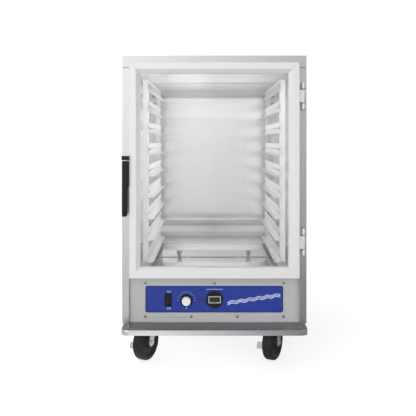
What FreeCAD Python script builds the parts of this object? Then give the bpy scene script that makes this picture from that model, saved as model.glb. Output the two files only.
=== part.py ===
"""Heated holding cabinet on casters: a parametric assembly in millimetres.

+X points to the hinge side, the front faces -Y and +Z is up.
The origin is on the floor, under the middle of the cabinet.
"""
import FreeCAD
import Part
import math
import operator
import os
from types import SimpleNamespace

import Sketcher
from FreeCAD import Placement, Rotation, Vector

SIZES = {
    # Double-walled body
    "body_width": 638,
    "body_height": 927,
    "body_front": 358,
    "body_back": 411,
    "skin_sheet": 1.5,
    "liner_sheet": 1.2,
    "wall": 33,
    "roof": 62,
    "ceiling_seam": 1,
    "top_rail_height": 41,
    "stile_flange": 20,
    "stile_seam": 1.5,
    "sill_height": 29,
    "sill_flange": 40,
    # Base pan
    "base_side_inset": 5.5,
    "base_front_reach": 77,
    "base_rear_reach": 24,
    "base_lip": 18,
    "base_sheet": 2,
    "base_corner": 25,
    "ledge_screw_inset": 23.5,
    "ledge_screw_setback": 37,
    "channel_end_gap": 13.5,
    "channel_width": 30,
    "channel_height": 14,
    # Control panel
    "panel_height": 156,
    "panel_margin": 23.5,
    "panel_setback": 15,
    "panel_flange": 20,
    "overlay_end_gap": 55.5,
    "overlay_bottom_gap": 34,
    "overlay_top_gap": 29,
    "overlay_sheet": 0.6,
    "overlay_corner": 8,
    "panel_screw_inset": 54.5,
    "panel_screw_edge": 20,
    "panel_screw_inner_x": 80,
    "screw_radius": 2.5,
    "screw_head_radius": 4.8,
    "screw_head": 3,
    "screw_reach": 9,
    "hole_clearance": 0.2,
    "bracket_end_gap": 15.5,
    "bracket_leg": 30,
    "bracket_foot": 20,
    "bracket_sheet": 1.5,
    # Power switch
    "switch_inset": 79.6,
    "switch_drop": 2.2,
    "switch_width": 24.4,
    "switch_height": 47,
    "switch_bezel": 2.5,
    "switch_rim": 1.5,
    "switch_depth": 28,
    "rocker_width": 15.6,
    "rocker_height": 32,
    "rocker_proud": 7.5,
    "rocker_dip": 3,
    "rocker_back": 3,
    "rocker_side_gap": 0.4,
    "rocker_end_gap": 1.5,
    "rocker_pivot_depth": 2,
    "rocker_pivot_radius": 1.5,
    "rocker_pivot_reach": 1.6,
    "rocker_throw": 16,
    # Thermostat and knob
    "knob_inset": 143,
    "knob_drop": 3.5,
    "knob_skirt_radius": 21.5,
    "knob_skirt": 5,
    "knob_cap_radius": 15,
    "knob_cap": 14,
    "knob_cap_draft": 1,
    "knob_cap_edge": 3,
    "knob_gap": 0.6,
    "shaft_radius": 3,
    "shaft_in_cap": 9,
    "shaft_in_body": 18,
    "bushing_radius": 5,
    "bushing_proud": 1,
    "thermostat_width": 42,
    "thermostat_depth": 30,
    # Pilot lamp
    "lamp_inset": 194.3,
    "lamp_rise": 0.5,
    "lamp_radius": 6,
    "lamp_proud": 4,
    "lamp_body_radius": 5,
    "lamp_depth": 24,
    # Thermometer
    "meter_inset": 241,
    "meter_drop": 0.5,
    "meter_radius": 29.5,
    "meter_proud": 5,
    "meter_body_radius": 26,
    "meter_depth": 25,
    "meter_frame_width": 43.6,
    "meter_frame_height": 24.5,
    "meter_frame_proud": 2,
    "meter_window_width": 36.6,
    "meter_window_height": 17.5,
    "meter_window_sheet": 1.4,
    # Tray rack
    "upright_wall_gap": 51,
    "upright_width": 18.6,
    "upright_depth": 25,
    "upright_sheet": 1.5,
    "upright_floor_gap": 16,
    "upright_ceiling_gap": 15,
    "upright_front_gap": 65,
    "upright_rear_gap": 121,
    "standoff_radius": 6,
    "slide_count": 9,
    "slide_floor_gap": 36,
    "slide_ceiling_gap": 34.4,
    "slide_height": 42,
    "slide_ledge": 18,
    "slide_sheet": 1.5,
    "slide_front_reach": 10,
    "slide_rear_reach": 33,
    "slide_corner": 14,
    "rivet_radius": 2.4,
    "rivet_head_radius": 5,
    "rivet_head": 2,
    "rivet_reach": 3,
    # Heater and fan under the cover
    "cover_side_gap": 88,
    "cover_length": 180,
    "cover_forward": 26.75,
    "cover_height": 24,
    "cover_sheet": 1.2,
    "cover_foot_side_gap": 66,
    "cover_foot": 18,
    "cover_foot_lift": 3,
    "cover_notch_inset": 98,
    "cover_notch_radius": 12,
    "cover_slot_count": 9,
    "cover_slot_width": 14,
    "cover_slot_margin": 6,
    "wing_screw_inset": 65,
    "wing_screw_setback": 13,
    "wing_hub_radius": 5,
    "wing_hub": 6,
    "wing_span": 18,
    "wing_rise": 17,
    "wing_sheet": 3,
    "element_radius": 3.25,
    "element_lift": 11,
    "element_end_gap": 22,
    "element_side_gap": 24,
    "element_leg_x": 15,
    "element_leg_bend": 9,
    "element_leg_drop": 30,
    "fan_element_gap": 11,
    "fan_lift": 4,
    "fan_plate": 1.5,
    "fan_blade_count": 12,
    "fan_blade": 12,
    "fan_blade_length": 18,
    "fan_blade_sheet": 1.2,
    "fan_hub_radius": 12,
    "fan_shaft_radius": 4,
    "fan_shaft_drop": 40,
    "motor_radius": 42,
    "motor_height": 62,
    "motor_plate": 2,
    "motor_pass_radius": 9,
    # Power inlet at the back
    "inlet_x": 0,
    "inlet_rise": 85,
    "inlet_width": 50,
    "inlet_height": 31,
    "inlet_flange": 2.5,
    "inlet_body_width": 30,
    "inlet_body_height": 24,
    "inlet_depth": 26,
    "inlet_wall": 3,
    "inlet_recess": 17,
    "inlet_pin_width": 2,
    "inlet_pin_height": 5,
    "inlet_pin_pitch": 7,
    # Door
    "door_side_margin": 29,
    "door_bottom_margin": 7.5,
    "door_top_margin": 27,
    "door_thickness": 32,
    "gasket_sheet": 3,
    "gasket_width": 15,
    "gasket_margin": 1,
    "rail_face": 36,
    "rail_flat": 22.5,
    "rail_bevel_depth": 8,
    "rail_lip": 4,
    "rail_wall": 2.5,
    "pane_sheet": 5,
    "pane_seat": 10,
    "pane_clearance": 0.2,
    # Hinges
    "hinge_axis_inset": 13,
    "hinge_axis_proud": 22,
    "hinge_upper_drop": 115,
    "hinge_lower_rise": 121.5,
    "hinge_knuckle": 19,
    "hinge_block": 43,
    "hinge_gap": 5,
    "hinge_radius": 7.5,
    "hinge_leaf_width": 16,
    "hinge_leaf_sheet": 3,
    "hinge_arm_width": 12,
    "hinge_pin_radius": 3,
    "hinge_pin_head": 2,
    "hinge_pin_head_radius": 5,
    # Latch
    "latch_rise": 49.25,
    "latch_base_width": 23,
    "latch_base_height": 91,
    "latch_cap_width": 25,
    "latch_cap": 14,
    "latch_gap": 3.5,
    "latch_depth": 15.5,
    "lever_width": 23,
    "lever_step": 78,
    "lever_grip_width": 18.5,
    "lever_length": 181,
    "lever_pivot_drop": 7.5,
    "lever_pivot_proud": 7,
    "lever_back_gap": 0.7,
    "tongue_width": 9,
    "tongue_gap": 0.4,
    "lever_pin_radius": 2,
    "strike_width": 14,
    "strike_sheet": 2,
    "strike_end_gap": 10.5,
    # Casters
    "caster_side_inset": 86.5,
    "caster_bracket_gap": 29,
    "caster_rear_inset": 149,
    "caster_turn": 154,
    "plate_edge": 12,
    "plate_sheet": 5,
    "bolt_pitch_x": 60,
    "bolt_pitch_y": 80,
    "bolt_radius": 4,
    "bolt_head_radius": 7.5,
    "bolt_head": 5.3,
    "nut_height": 6.5,
    "bolt_tail": 2.5,
    "bolt_clearance": 0.3,
    "wheel_radius": 63.5,
    "wheel_width": 38,
    "tyre_height": 16.5,
    "tyre_shoulder": 12,
    "hub_proud": 2,
    "hub_radius": 17,
    "wheel_web": 22,
    "wheel_web_slope": 3,
    "trail": 40,
    "axle_radius": 5,
    "axle_head_radius": 8,
    "axle_head": 5,
    "fork_leg": 3,
    "fork_hub_gap": 0.5,
    "fork_tip_radius": 14,
    "fork_front": 25,
    "fork_rear": 44,
    "crown_sheet": 4,
    "crown_wheel_gap": 3,
    "race_radius": 29,
    "race_height": 8.5,
    "race_gap": 0.5,
    "kingpin_radius": 6,
    "kingpin_head_radius": 10,
    "kingpin_head": 2,
    "running_fit": 0.05,
    "press_fit": 0.02,
    "pedal_sheet": 2.5,
    "pedal_gap": 0.6,
    "pedal_ring_radius": 12,
    "pedal_arm": 26,
    "pedal_tab_reach": 23,
    "pedal_tab_slant": 3,
    "pedal_tab_height": 24,
}


class Size:
    """A number together with the sheet formula that it comes from."""

    def __init__(self, value, formula):
        self.value = value
        self.formula = formula

    def __neg__(self):
        return combine(operator.sub, "-", 0, self)

    def __add__(self, other):
        return combine(operator.add, "+", self, other)

    def __radd__(self, other):
        return combine(operator.add, "+", other, self)

    def __sub__(self, other):
        return combine(operator.sub, "-", self, other)

    def __rsub__(self, other):
        return combine(operator.sub, "-", other, self)

    def __mul__(self, other):
        return combine(operator.mul, "*", self, other)

    def __rmul__(self, other):
        return combine(operator.mul, "*", other, self)

    def __truediv__(self, other):
        return combine(operator.truediv, "/", self, other)


def as_size(number):
    return number if isinstance(number, Size) else Size(number, f"{number:.6f}")


def combine(action, sign, left, right):
    left, right = as_size(left), as_size(right)
    return Size(action(left.value, right.value), f"({left.formula} {sign} {right.formula})")


doc = FreeCAD.newDocument("heated_holding_cabinet")
sheet = doc.addObject("Spreadsheet::Sheet", "sizes")
for row, (alias, number) in enumerate(SIZES.items(), 1):
    sheet.set(f"A{row}", alias)
    sheet.set(f"B{row}", str(number))
    sheet.setAlias(f"B{row}", alias)
doc.recompute()
dim = SimpleNamespace(**{alias: Size(float(sheet.get(alias)), f"sizes.{alias}") for alias in SIZES})

AXES = {"x": Vector(1, 0, 0), "y": Vector(0, 1, 0), "z": Vector(0, 0, 1)}
TURN_FROM_Z = {
    "x": Rotation(Vector(0, 1, 0), 90),
    "y": Rotation(Vector(1, 0, 0), -90),
    "-y": Rotation(Vector(1, 0, 0), 90),
    "z": Rotation(),
}
nodes = []


def bind(item, prop, size):
    item.setExpression(prop, as_size(size).formula)


def span(middle, width):
    """The two ends of a width about a middle."""
    return (middle - width / 2, middle + width / 2)


def both(half_width):
    """The two ends of a width about the middle plane."""
    return (-half_width, half_width)


def box(name, x, y, z):
    """A block between two ends on each axis."""
    solid = doc.addObject("Part::Box", name)
    for prop, axis, (low, high) in zip(("Length", "Width", "Height"), "xyz", (x, y, z)):
        bind(solid, prop, as_size(high) - low)
        bind(solid, f"Placement.Base.{axis}", low)
    return solid


def place_on_axis(solid, axis, at, low):
    """Turn a piece made along Z onto an axis and set its foot there."""
    solid.Placement = Placement(Vector(), TURN_FROM_Z[axis])
    along = axis[-1]
    across = [letter for letter in "xyz" if letter != along]
    bind(solid, f"Placement.Base.{along}", low)
    for letter, size in zip(across, at):
        bind(solid, f"Placement.Base.{letter}", size)


def rod(name, axis, at, radius, ends):
    """A cylinder along an axis, at its place in the two other axes."""
    solid = doc.addObject("Part::Cylinder", name)
    bind(solid, "Radius", radius)
    bind(solid, "Height", as_size(ends[1]) - ends[0])
    place_on_axis(solid, axis, at, ends[0])
    return solid


def hexagon(name, at, radius, ends):
    """A six-sided block along Z."""
    solid = doc.addObject("Part::Prism", name)
    solid.Polygon = 6
    bind(solid, "Circumradius", radius)
    bind(solid, "Height", as_size(ends[1]) - ends[0])
    place_on_axis(solid, "z", at, ends[0])
    return solid


def group(name, solids):
    """Separate solids that share one node."""
    joined = doc.addObject("Part::Compound", name)
    joined.Links = solids
    return joined


def fuse(name, *solids):
    joined = doc.addObject("Part::MultiFuse", name)
    joined.Shapes = list(solids)
    joined.Refine = True
    return joined


def cut(name, base, *tools):
    result = doc.addObject("Part::Cut", name)
    result.Base = base
    result.Tool = tools[0] if len(tools) == 1 else group(f"{name}_tools", list(tools))
    return result


def common(name, first, second):
    result = doc.addObject("Part::Common", name)
    result.Base = first
    result.Tool = second
    return result


def mirrored(name, source, axis="x"):
    """The same piece on the other side of a middle plane."""
    result = doc.addObject("Part::Mirroring", name)
    result.Source = source
    result.Normal = AXES[axis]
    return result


def pair(name, right):
    """A piece and its mirror image as one node."""
    return group(name, [right, mirrored(f"{name}_left", right)])


def rounded(name, solid, axis, radius):
    """Round the straight edges that run along an axis."""
    doc.recompute()
    along = []
    for number, edge in enumerate(solid.Shape.Edges, 1):
        straight = isinstance(edge.Curve, Part.Line)
        if straight and abs(edge.tangentAt(edge.FirstParameter).dot(AXES[axis])) > 0.999:
            along.append((number, radius.value, radius.value))
    result = doc.addObject("Part::Fillet", name)
    result.Base = solid
    result.Edges = along
    return result


def add_sketch(body, name, plane, offset):
    sketch = body.newObject("Sketcher::SketchObject", name)
    origin_plane = next(item for item in body.Origin.OriginFeatures if item.Role == plane)
    sketch.AttachmentSupport = [(origin_plane, "")]
    sketch.MapMode = "FlatFace"
    bind(sketch, "AttachmentOffset.Base.z", offset)
    return sketch


def draw_outline(sketch, points):
    """A closed outline with each corner held at its own two sizes."""
    first = sketch.GeometryCount
    corners = [(as_size(across), as_size(up)) for across, up in points]
    spots = [Vector(across.value, up.value, 0) for across, up in corners]
    for number, spot in enumerate(spots):
        sketch.addGeometry(Part.LineSegment(spot, spots[(number + 1) % len(spots)]))
    for number, corner in enumerate(corners):
        line = first + number
        following = first + (number + 1) % len(corners)
        sketch.addConstraint(Sketcher.Constraint("Coincident", line, 2, following, 1))
        for kind, size in zip(("DistanceX", "DistanceY"), corner):
            held = sketch.addConstraint(Sketcher.Constraint(kind, -1, 1, line, 1, size.value))
            bind(sketch, f"Constraints[{held}]", size)


def prism(name, plane, outlines, ends):
    """One or more outlines in a plane, drawn out between two ends of its normal axis."""
    low, high = as_size(ends[0]), as_size(ends[1])
    body = doc.addObject("PartDesign::Body", name)
    sketch = add_sketch(body, f"{name}_sketch", plane, -high if plane == "XZ_Plane" else low)
    for points in outlines:
        draw_outline(sketch, points)
    pad = body.newObject("PartDesign::Pad", f"{name}_pad")
    pad.Profile = sketch
    bind(pad, "Length", high - low)
    return body


def revolve(name, plane, points, sketch_axis):
    """An outline spun a full turn round an axis of its sketch."""
    body = doc.addObject("PartDesign::Body", name)
    sketch = add_sketch(body, f"{name}_sketch", plane, 0)
    draw_outline(sketch, points)
    spin = body.newObject("PartDesign::Revolution", f"{name}_spin")
    spin.Profile = sketch
    spin.ReferenceAxis = (sketch, [sketch_axis])
    spin.Angle = 360
    return body


def turned_forward(name, points, at, foot):
    """A knob-like piece of (radius, height) pairs that stands forward from a foot plane."""
    body = revolve(name, "XZ_Plane", points, "V_Axis")
    place_on_axis(body, "-y", at, foot)
    return body


def node(name, solid):
    """Name a finished sub-part."""
    solid.Label = name
    nodes.append(solid)
    return solid


# Planes that many pieces share
middle_plane = Size(0, "0")
half = dim.body_width / 2
front = -dim.body_front
sheet_back = front + dim.skin_sheet
rear = dim.body_back
rear_sheet = rear - dim.skin_sheet
crown_bottom = 2 * dim.wheel_radius + dim.crown_wheel_gap
crown_top = crown_bottom + dim.crown_sheet
race_top = crown_top + dim.race_height
plate_under = race_top + dim.race_gap
deck_under = plate_under + dim.plate_sheet
deck = deck_under + dim.base_sheet
top = deck + dim.body_height
top_sheet = top - dim.skin_sheet
cavity_half = half - dim.wall
liner_half = cavity_half + dim.liner_sheet
cavity_rear = rear - dim.wall
liner_rear = cavity_rear + dim.liner_sheet
ceiling = top - dim.roof
ceiling_back = ceiling + dim.liner_sheet
sill_bottom = deck + dim.panel_height
floor_top = sill_bottom + dim.sill_height
floor_under = floor_top - dim.liner_sheet
rail_bottom = top - dim.top_rail_height
panel_half = half - dim.panel_margin
panel_front = front + dim.panel_setback
panel_back = panel_front + dim.skin_sheet
overlay_front = panel_front - dim.overlay_sheet
overlay_half = panel_half - dim.overlay_end_gap
overlay_z = (deck + dim.overlay_bottom_gap, sill_bottom - dim.overlay_top_gap)
overlay_middle = (overlay_z[0] + overlay_z[1]) / 2
switch_x = dim.switch_inset - overlay_half
knob_x = dim.knob_inset - overlay_half
lamp_x = dim.lamp_inset - overlay_half
meter_x = dim.meter_inset - overlay_half
switch_z = overlay_middle - dim.switch_drop
knob_z = overlay_middle - dim.knob_drop
lamp_z = overlay_middle + dim.lamp_rise
meter_z = overlay_middle - dim.meter_drop
door_back = front - dim.gasket_sheet
door_front = door_back - dim.door_thickness
door_half = half - dim.door_side_margin
door_bottom = sill_bottom + dim.door_bottom_margin
door_top = top - dim.door_top_margin
base_half = half - dim.base_side_inset
base_front = front - dim.base_front_reach
base_rear = rear + dim.base_rear_reach

# Places of the four casters and of their plate bolts
caster_x = base_half - dim.caster_side_inset
bracket_rear = panel_back + dim.bracket_foot
front_bolt_y = bracket_rear + dim.caster_bracket_gap + dim.bolt_head_radius
caster_front_y = front_bolt_y + dim.bolt_pitch_y / 2
caster_rear_y = rear - dim.caster_rear_inset
caster_places = {
    "front_left": (-caster_x, caster_front_y),
    "front_right": (caster_x, caster_front_y),
    "rear_left": (-caster_x, caster_rear_y),
    "rear_right": (caster_x, caster_rear_y),
}
bolt_places = []
for middle_x, middle_y in caster_places.values():
    for bolt_x in span(middle_x, dim.bolt_pitch_x):
        for bolt_y in span(middle_y, dim.bolt_pitch_y):
            bolt_places.append((bolt_x, bolt_y))


def bolt_holes(name, ends):
    radius = dim.bolt_radius + dim.bolt_clearance
    return [rod(f"{name}_hole_{n}", "z", at, radius, ends) for n, at in enumerate(bolt_places)]


def pan_screw(name, axis, at, face, inward):
    """A screw with a pan head outside a face; inward is +1 or -1 along the axis."""
    head = sorted((face, face - inward * dim.screw_head), key=lambda size: size.value)
    shank = sorted((face, face + inward * dim.screw_reach), key=lambda size: size.value)
    return fuse(
        name,
        rod(f"{name}_head", axis, at, dim.screw_head_radius, head),
        rod(f"{name}_shank", axis, at, dim.screw_radius, shank),
    )


# Base pan, its screws and the channel under its front ledge
ledge_y = base_front + dim.ledge_screw_setback
ledge_x = base_half - dim.ledge_screw_inset
ledge_places = [(x, ledge_y) for x in (-ledge_x, middle_plane, ledge_x)]
screw_hole = dim.screw_radius + dim.hole_clearance


def ledge_holes(name):
    ends = (deck_under - dim.channel_height, deck)
    return [rod(f"{name}_screw_hole_{n}", "z", at, screw_hole, ends) for n, at in enumerate(ledge_places)]


def make_base():
    sheet = dim.base_sheet
    lip_bottom = deck - dim.base_lip
    outer = box("base_outer", both(base_half), (base_front, base_rear), (lip_bottom, deck))
    inner_y = (base_front + sheet, base_rear - sheet)
    inner = box("base_inner", both(base_half - sheet), inner_y, (lip_bottom, deck_under))
    outer = rounded("base_outer_round", outer, "z", dim.base_corner)
    inner = rounded("base_inner_round", inner, "z", dim.base_corner - sheet)
    holes = bolt_holes("base", (deck_under, deck)) + ledge_holes("base")
    node("base_pan", cut("base_pan", outer, inner, *holes))
    under = deck_under - dim.channel_height
    across = span(ledge_y, dim.channel_width)
    hollow = (across[0] + dim.skin_sheet, across[1] - dim.skin_sheet)
    ends = both(base_half - dim.channel_end_gap)
    block = box("channel_block", ends, across, (under, deck_under))
    trough = box("channel_trough", ends, hollow, (under, deck_under - dim.skin_sheet))
    node("base_channel", cut("base_channel", block, trough, *ledge_holes("channel")))
    screws = [pan_screw(f"base_screw_{n}", "z", at, deck, -1) for n, at in enumerate(ledge_places)]
    node("base_screws", group("base_screws", screws))


# Outer sheets and the front frame round the door opening
def make_skins():
    side = box("side_skin", (half - dim.skin_sheet, half), (sheet_back, rear_sheet), (deck, top_sheet))
    node("side_skins", pair("side_skins", side))
    node("top_skin", box("top_skin", both(half), (sheet_back, rear), (top_sheet, top)))
    inlet = span(dim.inlet_x, dim.inlet_body_width + dim.hole_clearance * 2)
    inlet_z = span(deck + dim.inlet_rise, dim.inlet_body_height + dim.hole_clearance * 2)
    back_sheet = box("back_sheet", both(half), (rear_sheet, rear), (deck, top_sheet))
    opening = box("back_opening", inlet, (rear_sheet, rear), inlet_z)
    node("back_skin", cut("back_skin", back_sheet, opening))
    face = (front, sheet_back)
    rail = box("top_rail_face", both(half), face, (rail_bottom, top))
    drop = box("top_rail_drop", both(cavity_half), face, (ceiling, rail_bottom))
    node("front_top_rail", fuse("front_top_rail", rail, drop))
    flange = (sheet_back, sheet_back + dim.stile_flange)
    return_lip = (panel_half, panel_half + dim.skin_sheet)
    stile = fuse(
        "front_stile",
        box("stile_upper", (cavity_half, half), face, (sill_bottom, rail_bottom - dim.stile_seam)),
        box("stile_lower", (panel_half, half), face, (deck, sill_bottom)),
        box("stile_flange", (liner_half, liner_half + dim.skin_sheet), flange, (sill_bottom, ceiling)),
        box("stile_return", return_lip, (sheet_back, panel_back), (deck, sill_bottom)),
    )
    node("front_stiles", pair("front_stiles", stile))
    shelf = (sheet_back, sheet_back + dim.sill_flange)
    sill = fuse(
        "sill_rail",
        box("sill_face", both(cavity_half), face, (sill_bottom, floor_top)),
        box("sill_shelf", both(cavity_half), shelf, (sill_bottom, sill_bottom + dim.skin_sheet)),
    )
    node("sill_rail", sill)


# Inner walls of the heated cavity and the insulation behind them
def make_cavity():
    depth = (sheet_back, cavity_rear)
    side = box("side_liner", (cavity_half, liner_half), depth, (floor_under, ceiling))
    node("side_liners", pair("side_liners", side))
    tall = (floor_under, ceiling_back)
    node("back_liner", box("back_liner", both(liner_half), (cavity_rear, liner_rear), tall))
    seam = span((depth[0] + depth[1]) / 2, dim.ceiling_seam)
    ceiling_sheets = [
        box("ceiling_front_sheet", both(liner_half), (depth[0], seam[0]), (ceiling, ceiling_back)),
        box("ceiling_rear_sheet", both(liner_half), (seam[1], depth[1]), (ceiling, ceiling_back)),
    ]
    node("ceiling_liner", group("ceiling_liner", ceiling_sheets))
    floor = box("floor_sheet", both(cavity_half), depth, (floor_under, floor_top))
    through = (floor_under, floor_top)
    leg_radius = dim.element_radius + dim.hole_clearance
    holes = [
        rod("floor_shaft_hole", "z", (0, fan_y), dim.motor_pass_radius, through),
        *[rod(f"floor_leg_hole_{n}", "z", at, leg_radius, through) for n, at in enumerate(element_legs)],
        *[rod(f"floor_wing_hole_{n}", "z", at, screw_hole, through) for n, at in enumerate(wing_places)],
    ]
    node("cavity_floor", cut("cavity_floor", floor, *holes))
    inside = half - dim.skin_sheet
    slab_front = sheet_back + dim.stile_flange
    slab = box("side_slab", (liner_half, inside), (slab_front, liner_rear), tall)
    slabs = [
        slab,
        mirrored("side_slab_left", slab),
        box("back_slab", both(inside), (liner_rear, rear_sheet), tall),
        box("top_slab", both(inside), (sheet_back, rear_sheet), (ceiling_back, top_sheet)),
    ]
    node("insulation_slabs", group("insulation_slabs", slabs))


# Tray rack: uprights on standoffs, angle slides and their rivets
slide_count = int(dim.slide_count.value)
slide_first = floor_top + dim.slide_floor_gap
slide_pitch = (ceiling - dim.slide_ceiling_gap - slide_first) / (slide_count - 1)
slide_levels = [slide_first + slide_pitch * n for n in range(slide_count)]
standoff_levels = (slide_levels[0] + slide_pitch / 2, slide_levels[-1] - slide_pitch / 2)
upright_x = cavity_half - dim.upright_wall_gap
upright_rear_y = cavity_rear - dim.upright_rear_gap
upright_fronts = (front + dim.upright_front_gap, upright_rear_y - dim.upright_depth)
rivet_rows = [y + dim.upright_depth / 2 for y in upright_fronts]
rivet_places = [(y, z) for y in rivet_rows for z in slide_levels]
web_inner_x = upright_x - dim.slide_sheet
rivet_tip_x = upright_x + dim.upright_sheet + dim.rivet_reach


def rivet_holes(name):
    radius = dim.rivet_radius + dim.hole_clearance
    ends = (web_inner_x, rivet_tip_x)
    return [rod(f"{name}_rivet_hole_{n}", "x", at, radius, ends) for n, at in enumerate(rivet_places)]


def make_rack():
    inner, outer = upright_x, upright_x + dim.upright_width
    sheet = dim.upright_sheet
    tall = (floor_top + dim.upright_floor_gap, ceiling - dim.upright_ceiling_gap)
    channels, posts = [], []
    for n, face_y in enumerate(upright_fronts):
        back_y = face_y + dim.upright_depth
        block = box(f"upright_block_{n}", (inner, outer), (face_y, back_y), tall)
        hollow_y = (face_y + sheet, back_y - sheet)
        hollow = box(f"upright_hollow_{n}", (inner + sheet, outer), hollow_y, tall)
        channels.append(cut(f"upright_channel_{n}", block, hollow))
        for post_z in standoff_levels:
            at = (rivet_rows[n], post_z)
            ends = (inner + sheet, cavity_half)
            posts.append(rod(f"standoff_{n}_{len(posts)}", "x", at, dim.standoff_radius, ends))
    drilled = cut("drilled_uprights", group("upright_channels", channels), *rivet_holes("upright"))
    right = group("right_uprights", [drilled, *posts])
    node("rack_uprights", pair("rack_uprights", right))

    web_x = (web_inner_x, upright_x)
    corner = dim.slide_corner
    front_y, rear_y = upright_fronts[0] - dim.slide_front_reach, upright_rear_y + dim.slide_rear_reach
    slides = []
    for n, level in enumerate(slide_levels):
        low, high = span(level, dim.slide_height)
        side_view = [
            (front_y, low),
            (rear_y, low),
            (rear_y, high - corner),
            (rear_y - corner, high),
            (front_y + corner, high),
            (front_y, high - corner),
        ]
        web = prism(f"slide_web_{n}", "YZ_Plane", [side_view], web_x)
        ledge_x = (web_inner_x - dim.slide_ledge, web_inner_x)
        plan_view = [
            (ledge_x[0], front_y + corner),
            (ledge_x[0] + corner, front_y),
            (ledge_x[1], front_y),
            (ledge_x[1], rear_y),
            (ledge_x[0] + corner, rear_y),
            (ledge_x[0], rear_y - corner),
        ]
        ledge = prism(f"slide_ledge_{n}", "XY_Plane", [plan_view], (low, low + dim.slide_sheet))
        slides.append(fuse(f"slide_{n}", web, ledge))
    drilled = cut("drilled_slides", group("right_slides", slides), *rivet_holes("slide"))
    node("tray_slides", pair("tray_slides", drilled))

    rivets = []
    for n, at in enumerate(rivet_places):
        head_x = (web_inner_x - dim.rivet_head, web_inner_x)
        head = rod(f"rivet_head_{n}", "x", at, dim.rivet_head_radius, head_x)
        shank = rod(f"rivet_shank_{n}", "x", at, dim.rivet_radius, (web_inner_x, rivet_tip_x))
        rivets.append(fuse(f"rivet_{n}", head, shank))
    node("slide_rivets", pair("slide_rivets", group("right_rivets", rivets)))


# Heater cover on the cavity floor, with its wing screws
fan_y = (sheet_back + cavity_rear) / 2 - dim.cover_forward
cover_half = cavity_half - dim.cover_side_gap
cover_y = span(fan_y, dim.cover_length)
wing_x = cover_half - dim.wing_screw_inset
wing_y = cover_y[0] - dim.wing_screw_setback
wing_places = [(-wing_x, wing_y), (wing_x, wing_y)]
cover_foot_under = floor_top + dim.cover_foot_lift
cover_foot_top = cover_foot_under + dim.cover_sheet


def make_cover():
    sheet = dim.cover_sheet
    crest = floor_top + dim.cover_height
    inner_y = (cover_y[0] + sheet, cover_y[1] - sheet)
    hood = cut(
        "cover_hood",
        box("cover_outer", both(cover_half), cover_y, (floor_top, crest)),
        box("cover_inner", both(cover_half - sheet), inner_y, (floor_top, crest - sheet)),
    )
    foot_half = cavity_half - dim.cover_foot_side_gap
    foot_y = (cover_y[0] - dim.cover_foot, cover_y[0])
    thick = (cover_foot_under, cover_foot_top)
    foot = box("cover_foot", both(foot_half), foot_y, thick)
    tools = [rod(f"cover_wing_hole_{n}", "z", at, screw_hole, thick) for n, at in enumerate(wing_places)]
    for n, notch_x in enumerate(both(cover_half - dim.cover_notch_inset)):
        tools.append(rod(f"cover_notch_{n}", "z", (notch_x, foot_y[0]), dim.cover_notch_radius, thick))
    count = int(dim.cover_slot_count.value)
    slot_pitch = 2 * cover_half / (count + 2)
    slot_y = (inner_y[1], cover_y[1])
    slot_z = (floor_top + dim.cover_slot_margin, crest - dim.cover_slot_margin)
    for n in range(count):
        slot_x = span(slot_pitch * (n - (count - 1) / 2), dim.cover_slot_width)
        tools.append(box(f"cover_slot_{n}", slot_x, slot_y, slot_z))
    node("heater_cover", cut("heater_cover", fuse("cover_body", hood, foot), *tools))

    screws = []
    for n, at in enumerate(wing_places):
        hub_top = cover_foot_top + dim.wing_hub
        tip = dim.wing_span / 2
        root = dim.wing_hub_radius
        rise = cover_foot_top + dim.wing_rise
        wings = [
            (at[0] - root, cover_foot_top + dim.wing_hub / 3),
            (at[0] + root, cover_foot_top + dim.wing_hub / 3),
            (at[0] + tip, rise - dim.wing_hub / 3),
            (at[0] + tip - root, rise),
            (at[0], hub_top),
            (at[0] - tip + root, rise),
            (at[0] - tip, rise - dim.wing_hub / 3),
        ]
        shank = (floor_under - dim.screw_reach, cover_foot_top)
        screws.append(fuse(
            f"wing_screw_{n}",
            rod(f"wing_hub_{n}", "z", at, dim.wing_hub_radius, (cover_foot_top, hub_top)),
            rod(f"wing_shank_{n}", "z", at, dim.screw_radius, shank),
            prism(f"wing_blades_{n}", "XZ_Plane", [wings], span(at[1], dim.wing_sheet)),
        ))
    node("cover_wing_screws", group("cover_wing_screws", screws))


# Heating element: a sheathed tube looped round the fan
element_z = floor_top + dim.element_lift
element_bend = dim.cover_length / 2 - dim.element_side_gap
element_run = cover_half - dim.element_end_gap - element_bend
element_rear_y = fan_y + element_bend
element_legs = [(-dim.element_leg_x, element_rear_y), (dim.element_leg_x, element_rear_y)]


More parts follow.
